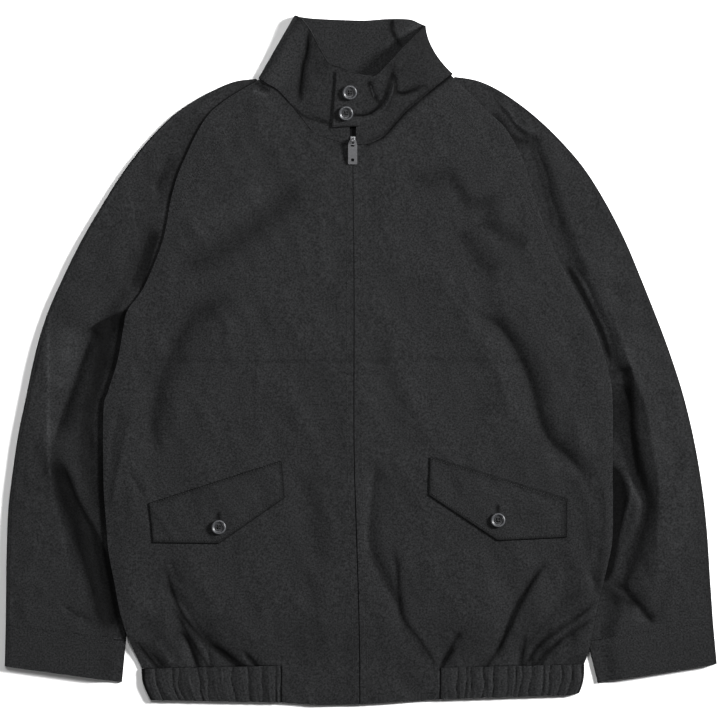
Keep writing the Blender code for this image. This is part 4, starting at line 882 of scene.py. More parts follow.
# ---- sleeves and cuffs ----
def tube_section(width, closed):
    """The outer face of a flat tube at one row: how far its points lie from the outer edge, their heights,
    and which belong to the upper layer. It runs from the inner edge under the tube, round the outer fold
    and back over it. Where the tube isn't closed, its inner edge is open."""
    radius = FOLDED / 2
    angles = np.radians(np.linspace(0, 180, 9))
    lower = np.linspace(1, 0, 10)[1:-1]
    upper = np.linspace(0, 1, TUBE_COLUMNS + 2)[1:-1]
    inner_low, inner_high = angles[4:0:-1], angles[7:3:-1]
    open_edge = np.array([0.0, 0.4, 0.8, 1.2])
    parts = [
        (width - radius, 0.0),
        (radius + (width - 2 * radius) * lower, 0.0),
        (radius - radius * np.sin(angles), radius - radius * np.cos(angles)),
        (radius + (width - 2 * radius) * upper, FOLDED),
        (width - radius, FOLDED),
    ]
    if closed:
        parts.insert(0, (width - radius + radius * np.sin(inner_low), radius - radius * np.cos(inner_low)))
        parts.append((width - radius + radius * np.sin(inner_high), radius - radius * np.cos(inner_high)))
    else:
        parts.insert(0, (width - open_edge, 0.0))
        parts.append((width - open_edge[::-1], FOLDED))
    reach, level, is_upper = [], [], []
    for number, (places, heights) in enumerate(parts):
        places = np.atleast_1d(places)
        reach.append(places)
        level.append(np.broadcast_to(heights, places.shape))
        is_upper.append(np.full(places.shape, number == UPPER_PART))
    return np.concatenate(reach), np.concatenate(level), np.concatenate(is_upper)


def tube(side, rows, closed, crown, creases=None):
    """The points of a flat tube between rows of edge points, its upper layer raised, with any creases."""
    grid = []
    calm = smooth(np.linalg.norm(np.asarray(rows)[:, :2] - rows[-1][:2], axis=1) / 14)
    for row, shut, evened in zip(rows, closed, calm):
        outer, inner = np.asarray(row[:2]), np.asarray(row[2:])
        width = np.linalg.norm(inner - outer)
        inward = (inner - outer) / width
        reach, level, upper = tube_section(width, shut)
        spots = outer + inward * reach[:, None]
        hidden = max((inner[0] - across(DENSE_EDGE[side], inner[1])) * FACING[side], 0.0)
        shown = width - reach[upper] - (hidden * abs(inward[0]) + 3.0) - 5
        from_outer = reach[upper]
        lift = smooth(shown / 26) * rounded(from_outer / 9)
        high = FOLDED + crown * min(1.0, width / 110) * lift
        x, y = spots[upper, 0], spots[upper, 1]
        if creases:
            fade = smooth(shown / 12) * smooth(from_outer / 8) * evened
            high = high + (ripples(x, y, SLEEVE_RIPPLES) - crease_field(creases, x, y)) * fade
        level[upper] = np.maximum(high, FOLDED + 0.1 * lift)
        grid.append(np.column_stack([spots, level]))
    return np.asarray(grid)


def tucked_end(grid):
    """Two more rings of a tube, narrowed, that run on inside the next tube."""
    run = grid[-1] - grid[-2]
    run /= np.linalg.norm(run, axis=1)[:, None]
    ring = grid[-1].copy()
    centre = (ring.min(axis=0) + ring.max(axis=0)) / 2
    ring[:, 2] += np.clip(centre[2] - ring[:, 2], -0.2, 0.2)
    ring[:, 0] += np.clip(centre[0] - ring[:, 0], -0.2, 0.2)
    return np.asarray([ring + 0.2 * run, ring + TUCK * run])


def upper_evening(grid):
    """Painted light and shade that even out a tube's upper layer, and none for its lower one."""
    return evening(grid, TUBE_EVEN) * (grid[..., 2] > FOLDED / 2)


def sleeve_painted_light(side, grid, plain):
    """Painted light of a sleeve: painted shade in its folds, painted light and shade evening its slopes,
    and painted shade beside the body.
    """
    x, y = grid[..., 0], grid[..., 1]
    painted_light = crease_field(SLEEVE_CREASES[side], x, y) * SLEEVE_FOLD_SHARE
    painted_light += crease_field(SLEEVE_SHADES[side], x, y)
    evened = upper_evening(plain)
    beside = -edge_distance(side, plain[..., 0], plain[..., 1]) < SIDE_SHADE
    painted_light[:len(plain)] += np.where(beside, np.maximum(evened, 0), evened)
    amount, width = SIDE_PAINTED_SHADE
    return painted_light + amount * np.exp(-np.maximum(-edge_distance(side, x, y), 0) / width)


def make_sleeve(side, cloth):
    """A sleeve that is tucked into its cuff."""
    crown = bpy.context.scene.jacket_sizes.sleeve_crown / MM
    last = len(SLEEVE_ROWS[side]) - 1
    places = np.concatenate([np.linspace(0, UNDERARM, 100, endpoint=False),
                             np.linspace(UNDERARM, last, 160)])
    rows = spline(SLEEVE_ROWS[side], places)
    plain = tube(side, rows, places >= UNDERARM, crown)
    grid = tube(side, rows, places >= UNDERARM, crown, SLEEVE_CREASES[side])
    grid = np.concatenate([grid, tucked_end(grid)])
    made = shell(f"sleeve_{side}_cloth", grid, cloth, grow="inwards", painted_light=sleeve_painted_light(side, grid, plain))
    dress(made, "cloth", f"sleeve_{side}")


def make_cuff(side, cloth):
    """A cuff. Gives back its points, for its sewing."""
    wrist, hem = np.asarray(SLEEVE_ROWS[side][-1], float), np.asarray(CUFF_HEM[side], float)
    length = np.linalg.norm(hem[:2] - wrist[:2])
    shares = firm_ends(np.linspace(SEAM / length, 1, 28), 0.15 / length)
    rows = [wrist + (hem - wrist) * share for share in shares]
    grid = tube(side, rows, [True] * len(rows), bpy.context.scene.jacket_sizes.sleeve_crown / MM)
    # painted light and shade even out the cuff's slopes
    made = shell(f"cuff_{side}_cloth", grid, cloth, thickness=CUFF_CLOTH, grow="inwards",
                 painted_light=upper_evening(grid))
    dress(made, "cloth", f"cuff_{side}")
    return grid


def cuff_seams(grid):
    """Points and normals of a cuff's two rows of sewing, on its upper layer."""
    down = np.linalg.norm(grid[:, 0, :2] - grid[0, 0, :2], axis=1)
    rows = np.interp(CUFF_STITCH, down, np.arange(len(grid)))
    upper = np.flatnonzero(grid[0, :, 2] > FOLDED)
    columns = np.linspace(upper[2], upper[-3], CUFF_STITCHES)
    return [follow(grid, np.full(CUFF_STITCHES, row), columns, THREAD_LIFT) for row in rows]


# ---- hem band ----
def band_inner_end(side):
    """x where the gathered part ends beside a front's plain hem."""
    return -FACING[side] * (FACING_EDGE + SEAM + 0.1)


def band_side(side, down):
    """x of the band's outline at the side, at shares of its height."""
    at_seam, at_hem = BAND_CORNER[side]
    return at_seam + (at_hem - at_seam) * down ** 3


def gather_height(side, x, down):
    """z of a gathered part's upper face: a rounded bulge between every two grooves, pinched at the seam."""
    depth = bpy.context.scene.jacket_sizes.gather_depth / MM
    ends = [BAND_CORNER[side][0] + FACING[side] * BAND_FOLD] + GATHERS[side] + [band_inner_end(side)]
    places = np.asarray(ends, float) * FACING[side]
    spot = x * FACING[side] + 1.6 * wander(x, down * 40, 30, 8)
    number = np.clip(np.searchsorted(places, spot) - 1, 0, len(places) - 2)
    gap = places[number + 1] - places[number]
    share = np.clip((spot - places[number]) / gap, 0, 1)
    bulge = depth * np.minimum(gap / 14, 1.0) * (0.55 + 0.45 * np.sin(np.pi * down))
    sink = depth * (0.7 + 0.3 * np.sin(number * 2.3))
    pleats = 0.3 * wander(x, down * 6, 6, 9) * np.sin(np.pi * share)
    return BAND_TOP - sink + (sink + bulge) * np.sqrt(np.sin(np.pi * share)) + pleats


def make_hem_band(cloth):
    """The band from one front round the back to the other, one column of points at a time."""
    downs = firm_ends(np.linspace(0, 1, 25), 0.004)
    columns = []

    def column(xs, heights):
        top = along(HEM_SEAM, xs) - SEAM
        columns.append(np.column_stack([xs, top + (along(HEM_EDGE, xs) - top) * downs, heights]))

    def front(side, shares):
        starts = band_side(side, downs) + FACING[side] * BAND_FOLD
        for share in shares:
            xs = starts + (band_inner_end(side) - starts) * share
            flat = starts[0] + (band_inner_end(side) - starts[0]) * share
            column(xs, gather_height(side, np.full(len(downs), flat), downs))

    def fold(side, angles):
        for angle in angles:
            xs = band_side(side, downs) + FACING[side] * BAND_FOLD * (1 - math.sin(angle))
            column(xs, np.full(len(downs), BAND_FOLD * (1 - math.cos(angle))))

    shares = np.linspace(0, 1, 170)[1:]
    angles = np.linspace(0, math.pi, 12)
    front("right", shares[::-1])
    fold("right", angles[::-1])
    start, end = band_side("right", downs) + BAND_FOLD, band_side("left", downs) - BAND_FOLD
    for share in np.linspace(0, 1, 90)[1:-1]:
        column(start + (end - start) * share, np.zeros(len(downs)))
    fold("left", angles)
    front("left", shares)
    grid = np.asarray(columns)
    # painted shade in the gathers' grooves
    grooves = smooth((BAND_TOP - 0.1 - grid[..., 2]) / 0.5) * (grid[..., 2] > BAND_TOP - 1.5)
    made = shell("hem_band_cloth", grid, cloth, thickness=BAND_CLOTH, grow="inwards",
                 painted_light=GROOVE_SHADE * grooves)
    dress(made, "cloth", "hem_band")


# ---- collar and tab ----
def collar_points(places, ups):
    """Points of the collar's outer face, at row numbers and shares of its height."""
    row = spline(COLLAR_ROWS, places)
    up = ups[None, :, None]
    points = row[:, None, :3] * (1 - up) + row[:, None, 3:] * up
    waist = np.asarray(COLLAR_WAIST, float)
    bow = np.interp(places, waist[:, 0], waist[:, 1])[:, None] * 4 * ups * (1 - ups)
    x, y, z = points[..., 0] - bow, points[..., 1], points[..., 2]
    folds = crease_field(COLLAR_CREASES, x, y) * smooth(ups / 0.2) * smooth((z - 6) / 6)
    inside = np.maximum(-crease_field(COLLAR_BACK_CREASES, x, y), 0) * smooth(ups / 0.3)
    return np.dstack([x, y, z - folds + inside * (z < 1)])


def make_collar(cloth):
    """The collar, whose table runs from the zip round the wearer's right and the back to the zip again."""
    places = firm_ends(np.linspace(0, len(COLLAR_ROWS) - 1, 310), 0.015)
    ups = firm_ends(np.linspace(0, 1, 62), 0.002)
    grid = collar_points(places, ups)
    x, y = grid[..., 0], grid[..., 1]
    front = grid[..., 2] > 2.2
    right_half_edge = (places < 9)[:, None] * (ups > 0.975)[None, :]
    # painted shade and light in the folds, painted light and shade evening the front's slopes, and painted
    # shade along the right half's upper edge
    painted_light = np.where(front, crease_field(COLLAR_SHADES, x, y), crease_field(COLLAR_BACK_SHADES, x, y))
    painted_light += np.where(front, evening(grid, TUBE_EVEN), 0) + LEAF_EDGE_SHADE * right_half_edge
    made = shell("collar_cloth", grid, cloth, thickness=COLLAR_CLOTH, grow="inwards", painted_light=painted_light)
    dress(made, "cloth", "collar")


def tab_points(shares, ups):
    """Points of the tab's underside, whose end at the wearer's left goes in under the collar's fold."""
    low_right, low_left, high_left, high_right = (np.asarray(corner, float) for corner in TAB_CORNERS)
    s, u = shares[:, None, None], ups[None, :, None]
    low = low_right + (low_left - low_right) * s
    high = high_right + (high_left - high_right) * s
    plan = low * (1 - u) + high * u
    x, y = plan[..., 0], plan[..., 1]
    sunk = (TAB_CLOTH + 0.6) * smooth((s[..., 0] - 0.5) / 0.45)
    folds = crease_field(TAB_CREASES, x, y)
    return np.dstack([x, y, neck_slope(y) + TAB_LIFT - sunk - folds])


def make_neck_tab(cloth):
    """The buttoned tab on the front of the collar."""
    grid = tab_points(firm_ends(np.linspace(0, 1, 45), 0.004), firm_ends(np.linspace(0, 1, 55), 0.004))
    # painted shade in the tab's folds and along its edges
    made = shell("neck_tab_cloth", grid, cloth, thickness=TAB_CLOTH,
                 painted_light=crease_field(TAB_SHADES, grid[..., 0], grid[..., 1]))
    dress(made, "cloth", "neck_tab")


# ---- pockets ----
def flap_points(side, shares, downs):
    """Points of a flap's underside on its front, at shares of its width and height."""
    sewn, free = np.asarray(FLAPS[side]["sewn"], float), np.asarray(FLAPS[side]["free"], float)
    corner = (free[1, 0] - free[0, 0]) / (free[2, 0] - free[0, 0])
    top = sewn[0] + (sewn[1] - sewn[0]) * shares[:, None]
    edge = np.column_stack([np.interp(shares, [0, corner, 1], free[:, k]) for k in (0, 1)])
    plan = top[:, None] + (edge - top)[:, None] * downs[None, :, None]
    return np.dstack([plan, front_top(side, plan[..., 0], plan[..., 1]) + FLAP_GAP])


def make_flap(side, cloth):
    """A pocket flap with painted shade along its outline and in its buttonhole."""
    grid = flap_points(side, firm_ends(firm_ends(np.linspace(0, 1, 81), 0.006), 0.001),
                       firm_ends(firm_ends(np.linspace(0, 1, 31), 0.02), 0.004))
    x, y = FLAPS[side]["button"]
    # painted shade where the buttonhole's slit is
    near, far, amount, width = BUTTONHOLE
    hole = line_distance(np.array([(x, y + near), (x, y + far)]), grid[..., 0], grid[..., 1])[0]
    made = shell(f"flap_{side}_cloth", grid, cloth, thickness=FLAP_CLOTH, seams=[FLAPS[side]["sewn"]],
                 painted_light=rim(grid, *RIM_SHADE) + amount * np.exp(-(hole / width) ** 3))
    dress(made, "cloth", f"flap_{side}")


# ---- sewing ----
def follow(grid, rows, columns, lift=0.0):
    """Points and face normals of a grid at fractional row and column numbers, raised along the normals."""
    grid = np.asarray(grid, float)
    rows, columns = np.broadcast_arrays(np.asarray(rows, float), np.asarray(columns, float))
    i = np.clip(rows.astype(int), 0, grid.shape[0] - 2)
    j = np.clip(columns.astype(int), 0, grid.shape[1] - 2)
    s, t = (rows - i)[:, None], (columns - j)[:, None]
    a, b, c, d = grid[i, j], grid[i + 1, j], grid[i, j + 1], grid[i + 1, j + 1]
    points = (1 - s) * (1 - t) * a + s * (1 - t) * b + (1 - s) * t * c + s * t * d
    normals = np.cross((1 - t) * (b - a) + t * (d - c), (1 - s) * (c - a) + s * (d - b))
    normals /= np.maximum(np.linalg.norm(normals, axis=1), 1e-9)[:, None]
    normals[normals[:, 2] < 0] *= -1
    return points + normals * lift, normals


def on_front(side, line, lift=0.0):
    """Points and normals of a front's upper face along a line of x and y."""
    line = np.asarray(line, float)
    x, y = line[:, 0], line[:, 1]
    z = front_top(side, x, y)
    slope_x = (front_top(side, x + 1, y) - front_top(side, x - 1, y)) / 2
    slope_y = (front_top(side, x, y + 1) - front_top(side, x, y - 1)) / 2
    normals = np.column_stack([-slope_x, -slope_y, np.ones(len(x))])
    normals /= np.linalg.norm(normals, axis=1)[:, None]
    return np.column_stack([x, y, z]) + normals * lift, normals


def flap_seams(side):
    """Points and normals of a flap's sewing: along its three free edges and beside its sewn one."""
    flap = FLAPS[side]
    outline = [flap["sewn"][0], *flap["free"], flap["sewn"][1]]
    lines = (inset(outline, FACING[side] * EDGE_STITCH)[1:-1],
             inset(flap["sewn"], -FACING[side] * SEWN_STITCH))
    return [on_front(side, at_even(line, 2.0), FLAP_GAP + FLAP_CLOTH + THREAD_LIFT) for line in lines]


def stitch_shape(length, radius, sides=5):
    """Points and faces of one stitch along +X: a thread that dips into the cloth at both ends."""
    rings = ((-0.5, 0.0, -0.7), (-0.32, 0.85, 0.0), (0.0, 1.0, 0.35), (0.32, 0.85, 0.0), (0.5, 0.0, -0.7))
    points, faces = [], []
    for share, size, rise in rings:
        for step in range(sides):
            angle = math.tau * step / sides
            points.append((share * length, radius * size * math.cos(angle),
                           radius * (size * math.sin(angle) + rise)))
    for ring in range(len(rings) - 1):
        for step in range(sides):
            a, b = ring * sides + step, ring * sides + (step + 1) % sides
            faces.append((a, b, b + sides, a + sides))
    return np.asarray(points), np.asarray(faces)


def place_stitches(shape, points, normals, pitch):
    """The points of a stitch, set again and again along a seam."""
    run = run_along(points)
    number = max(int(run[-1] / pitch), 1)
    middles = (np.arange(number) + 0.5) * run[-1] / number

    def at(places, values):
        return np.column_stack([np.interp(places, run, values[:, k]) for k in range(3)])

    tangent = at(middles + 0.6, points) - at(middles - 0.6, points)
    tangent /= np.maximum(np.linalg.norm(tangent, axis=1), 1e-9)[:, None]
    aside = np.cross(at(middles, normals), tangent)
    aside /= np.maximum(np.linalg.norm(aside, axis=1), 1e-9)[:, None]
    axes = (tangent, aside, np.cross(tangent, aside))
    placed = at(middles, points)[:, None]
    for k, axis in enumerate(axes):
        placed = placed + shape[None, :, k:k + 1] * axis[:, None]
    return placed.reshape(-1, 3)


def sew(name, seams, material, length=None, pitch=None, radius=None):
    """Rows of stitches as one mesh. Each seam is a pair: points along it and the cloth's normals there."""
    sizes = bpy.context.scene.jacket_sizes
    length = length or sizes.stitch_length / MM
    pitch = pitch or sizes.stitch_pitch / MM
    radius = radius or sizes.thread_radius / MM
    shape, faces = stitch_shape(length, radius)
    points = np.concatenate([place_stitches(shape, *seam, pitch) for seam in seams])
    first_points = np.arange(0, len(points), len(shape))[:, None, None]
    quads = (faces[None] + first_points).reshape(-1, 4)
    mesh = bpy.data.meshes.new(name)
    mesh.from_pydata((points * MM).tolist(), [], quads.tolist())
    mesh.shade_smooth()
    made = linked(name, mesh, material)
    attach(made, BODY)


# ---- buttons ----
def button_spots():
    """Name, place of the underside in millimetres and tilt of each button."""
    slope = math.atan(NECK_SLOPE)
    spots = []
    for place, (x, y) in TAB_BUTTONS.items():
        z = neck_slope(y) + TAB_LIFT + TAB_CLOTH / math.cos(slope) + SEAM + 0.2
        spots.append((f"neck_{place}", (x, y, z), slope))
    for side, flap in FLAPS.items():
        x, y = flap["button"]
        z = front_top(side, np.array([x]), np.array([y]))[0] + FLAP_GAP + FLAP_CLOTH + 2 * SEAM
        spots.append((f"flap_{side}", (x, y, z), 0.0))
    return spots


def turned(name, profile, sides):
    """A closed turned solid from its profile of radius and height, in millimetres."""
    work = bmesh.new()
    rings = []
    for radius, height in profile:
        if radius < 1e-6:
            rings.append([work.verts.new((0, 0, height * MM))] * sides)
            continue
        rings.append([work.verts.new((radius * MM * math.cos(math.tau * k / sides),
                                      radius * MM * math.sin(math.tau * k / sides), height * MM))
                      for k in range(sides)])
    for low, high in zip(rings, rings[1:]):
        for k in range(sides):
            corners = (low[k], low[(k + 1) % sides], high[(k + 1) % sides], high[k])
            work.faces.new(list(dict.fromkeys(corners)))
    bmesh.ops.recalc_face_normals(work, faces=work.faces)
    mesh = bpy.data.meshes.new(name)
    work.to_mesh(mesh)
    work.free()
    return mesh


def drill(button):
    """Cut the four thread holes through a button."""
    work = bmesh.new()
    for x in (-HOLE_PLACE, HOLE_PLACE):
        for y in (-HOLE_PLACE, HOLE_PLACE):
            hole = bmesh.ops.create_cone(work, cap_ends=True, segments=20, radius1=HOLE_RADIUS * MM,
                                         radius2=HOLE_RADIUS * MM, depth=4 * BUTTON_THICK * MM)
            bmesh.ops.translate(work, vec=Vector((x, y, 0)) * MM, verts=hole["verts"])
    cutter_mesh = bpy.data.meshes.new("holes")
    work.to_mesh(cutter_mesh)
    work.free()
    cutter = bpy.data.objects.new("holes", cutter_mesh)
    bpy.context.scene.collection.objects.link(cutter)
    cut = button.modifiers.new("holes", "BOOLEAN")
    cut.operation = "DIFFERENCE"
    cut.object = cutter
    evaluated = button.evaluated_get(bpy.context.evaluated_depsgraph_get())
    drilled = bpy.data.meshes.new_from_object(evaluated)
    button.modifiers.clear()
    button.data = drilled
    bpy.data.objects.remove(cutter)


def button_strands(place, tilt):
    """Points and normals of the crossed strands of thread, two each way, over a tilted button."""
    turn = np.array([[1, 0, 0], [0, math.cos(tilt), -math.sin(tilt)], [0, math.sin(tilt), math.cos(tilt)]])
    up = turn @ np.array([0, 0, 1.0])
    ends_z, middle_z = 0.56 * BUTTON_THICK, 0.6 * BUTTON_THICK
    strands = []
    for slant in (1, -1):
        for aside in (-0.28, 0.28):
            shift = np.array([aside, -aside * slant, 0.0])
            line = np.array([(-HOLE_PLACE, -HOLE_PLACE * slant, ends_z), (0, 0, middle_z),
                             (HOLE_PLACE, HOLE_PLACE * slant, ends_z)]) + shift
            strands.append((np.asarray(place) + line @ turn.T, np.repeat(up[None], 3, axis=0)))
    return strands


def make_button(name, place, tilt, plastic, thread):
    """A dished button with a raised rim and four holes, and the thread that holds it."""
    profile = [(max(reach, 0.0) * BUTTON_RADIUS, height * BUTTON_THICK)
               for reach, height in dense(BUTTON_OUTLINE, 4)]
    profile[0], profile[-1] = (0.0, 0.5 * BUTTON_THICK), (0.0, 0.0)
    made = linked(f"button_{name}_turned", turned(name, profile, BUTTON_SIDES), plastic)
    made.data.shade_smooth()
    drill(made)
    made.location = Vector(place) * MM
    made.rotation_euler = (tilt, 0, 0)
    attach(made, BODY)
    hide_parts(f"button_{name}")
    length, pitch, radius = BUTTON_THREAD
    sew(f"button_{name}_thread", button_strands(place, tilt), thread, length, pitch, radius)


# ---- zip ----
def zip_level(y):
    """z of the tape's upper face, just under both fronts."""
    under = [front_height(side, zip_x(y) - FACING[side] * (ZIP_CHAIN + reach), y)
             for side in FACING for reach in (0.0, 5.0, 10.0)]
    return np.min(under, axis=0) - 3 * SEAM


def make_zip_chain(metal):
    """The teeth between the fronts: two rows of blocks that mesh."""
    pitch = bpy.context.scene.jacket_sizes.tooth_pitch / MM
    levels = np.arange(-404, 256, pitch)
    box = np.array([(x, y, z) for x in (-1, 1) for y in (-1, 1) for z in (-1, 1)], float)
    faces = np.array([(0, 1, 3, 2), (4, 6, 7, 5), (0, 4, 5, 1), (2, 3, 7, 6), (0, 2, 6, 4), (1, 5, 7, 3)])
    length, share, height = TOOTH
    turns = np.where(np.arange(len(levels)) % 2, 1, -1)
    middles = np.column_stack([zip_x(levels) + turns * TOOTH_ASIDE, levels, zip_level(levels) + TOOTH_RISE])
    points = (box * (length, share * pitch, height))[None] + middles[:, None]
    quads = faces[None] + len(box) * np.arange(len(levels))[:, None, None]
    mesh = bpy.data.meshes.new("zip_teeth")
    mesh.from_pydata((points.reshape(-1, 3) * MM).tolist(), [], quads.reshape(-1, 4).tolist())
    made = linked("zip_teeth", mesh, metal)
    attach(made, BODY)


# ---- finishes ----
def add_node(tree, kind, inputs=None, **settings):
    """A shader node with its settings. inputs holds a value or another node's socket, by name or number."""
    made = tree.nodes.new(kind)
    for key, value in settings.items():
        setattr(made, key, value)
    for key, value in (inputs or {}).items():
        if isinstance(value, bpy.types.NodeSocket):
            tree.links.new(value, made.inputs[key])
        else:
            made.inputs[key].default_value = value
    return made


def times(tree, colour, factor):
    """A colour times another colour or a value."""
    return add_node(tree, "ShaderNodeVectorMath", {0: colour, 1: factor}, operation="MULTIPLY").outputs[0]


def ranged(tree, value, low, high, at_low, at_high, **settings):
    """A value that runs between two others while the given one runs from low to high."""
    inputs = {0: value, 1: low, 2: high, 3: at_low, 4: at_high}
    return add_node(tree, "ShaderNodeMapRange", inputs, **settings).outputs[0]


def noise(tree, place, scale, detail, **inputs):
    """Noise from 0 to 1 at a scale, in the piece's own coordinates."""
    inputs = {"Vector": place, "Scale": scale, "Detail": detail, **inputs}
    return add_node(tree, "ShaderNodeTexNoise", inputs).outputs["Fac"]


def stored(tree, name):
    """A value stored at the mesh's points."""
    return add_node(tree, "ShaderNodeAttribute", attribute_name=name).outputs["Fac"]


def bumped(tree, height, strength, distance, under=None):
    """A surface normal bent by a height, over another bump when one is given."""
    inputs = {"Height": height, "Strength": strength, "Distance": distance}
    if under is not None:
        inputs["Normal"] = under
    return add_node(tree, "ShaderNodeBump", inputs).outputs[0]


def new_finish(name, roughness, metallic=0.0, specular=0.5):
    """A material with its tree and its shader, whose plain values are set on the shader itself."""
    made = bpy.data.materials.new(name)
    made.use_nodes = True
    shader = made.node_tree.nodes["Principled BSDF"]
    shader.inputs["Roughness"].default_value = roughness
    shader.inputs["Metallic"].default_value = metallic
    shader.inputs["Specular IOR Level"].default_value = specular
    return made, made.node_tree, shader


def shade(tree, factor, colour, dark, light):
    """A colour times a value that runs from dark to light with the factor."""
    return times(tree, colour, ranged(tree, factor, 0.3, 0.7, dark, light))


def cloth_finish(name, colour, thread_mm, weave_depth, mottle):
    """Woven cloth: threads, fibre grain, soft mottling, painted light and shade from the points' stored
    values, fine wrinkles, and a groove at each sewing line.
    """
    made, tree, shader = new_finish(name, 0.62, specular=0.05)
    shader.inputs["Sheen Weight"].default_value = 0.02
    shader.inputs["Sheen Roughness"].default_value = 0.45
    uv = add_node(tree, "ShaderNodeUVMap", uv_map="cloth").outputs[0]
    place = add_node(tree, "ShaderNodeTexCoord").outputs["Object"]
    waves = [add_node(tree, "ShaderNodeTexWave", {"Vector": uv, "Scale": 0.314 / (thread_mm * UV_SCALE)},
                      wave_type="BANDS", bands_direction=axis).outputs["Fac"] for axis in ("X", "Y")]
    weave = add_node(tree, "ShaderNodeMath", {0: waves[0], 1: waves[1]}, operation="MULTIPLY").outputs[0]
    grain = noise(tree, place, scale=500.0, detail=2.0)
    patches = noise(tree, place, scale=22.0, detail=3.0)
    base = shade(tree, grain, tuple(colour[:3]), 1 - mottle, 1 + mottle)
    base = shade(tree, patches, base, 0.95, 1.05)
    # the stored values paint light and shade into the colour
    base = times(tree, base, ranged(tree, stored(tree, "painted_light"), *PAINTED_LIGHT_RANGE))
    tree.links.new(base, shader.inputs["Base Color"])
    wrinkle = noise(tree, place, scale=60.0, detail=4.0, Roughness=0.55)
    groove = ranged(tree, stored(tree, "seam_mm"), 0.2, 1.9, 0.0, 1.0, interpolation_type="SMOOTHSTEP")
    bump = bumped(tree, wrinkle, strength=0.35, distance=0.0012)
    bump = bumped(tree, groove, strength=0.7, distance=0.0006, under=bump)
    bump = bumped(tree, weave, strength=weave_depth, distance=0.0001, under=bump)
    tree.links.new(bump, shader.inputs["Normal"])
    return made


def plain_finish(name, colour, roughness, metallic=0.0, grain_scale=900.0, variation=0.12, wear_and_highlight=0.0):
    """Plastic, metal, thread or paint: its colour varies finely, with small marks in its surface."""
    made, tree, shader = new_finish(name, roughness, metallic)
    place = add_node(tree, "ShaderNodeTexCoord").outputs["Object"]
    grain = noise(tree, place, scale=grain_scale, detail=4.0)
    base = shade(tree, grain, tuple(colour[:3]), 1 - variation, 1 + variation)
    # paler edges: real wear on the metal, a painted highlight on the buttons' rims
    if wear_and_highlight:
        edges = add_node(tree, "ShaderNodeNewGeometry").outputs["Pointiness"]
        base = times(tree, base, ranged(tree, edges, 0.5, 0.58, 1.0, 1.0 + wear_and_highlight))
    tree.links.new(base, shader.inputs["Base Color"])
    rough = ranged(tree, grain, 0.3, 0.7, roughness - 0.06, roughness + 0.08)
    tree.links.new(rough, shader.inputs["Roughness"])
    tree.links.new(bumped(tree, grain, strength=0.15, distance=0.0001), shader.inputs["Normal"])
    return made


def button_finish(name, colour):
    """Mottled plastic with a pale rim and a dark dish, painted as a highlight on the rim and shade in the
    dish.
    """
    made = plain_finish(name, colour, 0.34, grain_scale=260.0, variation=0.2, wear_and_highlight=0.3)
    tree = made.node_tree
    shader = tree.nodes["Principled BSDF"]
    base = shader.inputs["Base Color"].links[0].from_socket
    place = add_node(tree, "ShaderNodeTexCoord").outputs["Object"]
    flat = times(tree, place, (1, 1, 0))
    reach = add_node(tree, "ShaderNodeVectorMath", {0: flat}, operation="LENGTH").outputs["Value"]
    # painted shade in the dish and a painted highlight on the rim
    rim_highlight = ranged(tree, reach, 0.52 * BUTTON_RADIUS * MM, 0.66 * BUTTON_RADIUS * MM, 0.62, 1.3)
    tree.links.new(times(tree, base, rim_highlight), shader.inputs["Base Color"])
    return made


def finish_named(name):
    """One of the jacket's finishes, made when it is first asked for."""
    if name in bpy.data.materials:
        return bpy.data.materials[name]
    colours = bpy.context.scene.jacket_colours
    if name == "shell_cloth":
        return cloth_finish(name, colours.shell, thread_mm=0.55, weave_depth=0.35, mottle=0.42)
    if name == "tape_weave":
        return cloth_finish(name, colours.tape, thread_mm=0.9, weave_depth=0.6, mottle=0.06)
    if name == "thread":
        return plain_finish(name, colours.thread, 0.6, grain_scale=2400.0)
    if name == "button_plastic":
        return button_finish(name, colours.button)
    if name == "zip_metal":
        return plain_finish(name, colours.metal, 0.5, metallic=0.85, grain_scale=1500.0, wear_and_highlight=0.3)
    return plain_finish(name, colours.teeth, 0.42, metallic=0.6, grain_scale=1500.0)


# ---- sizes and colours a user may change ----
def length_property(name, description, default, least=0.0):
    """A length in metres."""
    return bpy.props.FloatProperty(name=name, description=description, default=default, min=least,
                                   unit="LENGTH")


def colour_property(name, description, default):
    """A colour with its alpha."""
    return bpy.props.FloatVectorProperty(name=name, description=description, default=default, size=4,
                                         min=0.0, max=1.0, subtype="COLOR")


class JacketSizes(bpy.types.PropertyGroup):
    """How full the cloth lies, and the sizes of stitches and teeth."""
    front_puff: length_property("Front puff", "How far trapped air lifts the fronts", 0.006)
    sleeve_crown: length_property("Sleeve crown", "How far the sleeves' upper layer rises", 0.005)
    gather_depth: length_property("Gather depth", "How far the hem's grooves sink", 0.0009)
    stitch_length: length_property("Stitch length", "Length of thread that shows", 0.0024, 0.0005)
    stitch_pitch: length_property("Stitch pitch", "From one stitch to the next", 0.0031, 0.001)
    thread_radius: length_property("Thread radius", "Half the thickness of the thread", 0.00028, 0.0001)
    tooth_pitch: length_property("Tooth pitch", "From one zip tooth to the next", 0.0015, 0.0005)


class JacketColours(bpy.types.PropertyGroup):
    """Colours of the finishes."""
    shell: colour_property("Shell", "The cloth", (0.0284, 0.0288, 0.0297, 1))
    thread: colour_property("Thread", "The sewing thread", (0.022, 0.0225, 0.023, 1))
    button: colour_property("Buttons", "The buttons' plastic", (0.050, 0.051, 0.054, 1))
    tape: colour_property("Tape", "The zip's woven tape", (0.010, 0.010, 0.011, 1))
    metal: colour_property("Metal", "The slider and its pull", (0.13, 0.13, 0.134, 1))
    teeth: colour_property("Teeth", "The zip's teeth", (0.012, 0.012, 0.013, 1))
    floor: colour_property("Floor", "The plain floor", (0.92, 0.92, 0.92, 1))


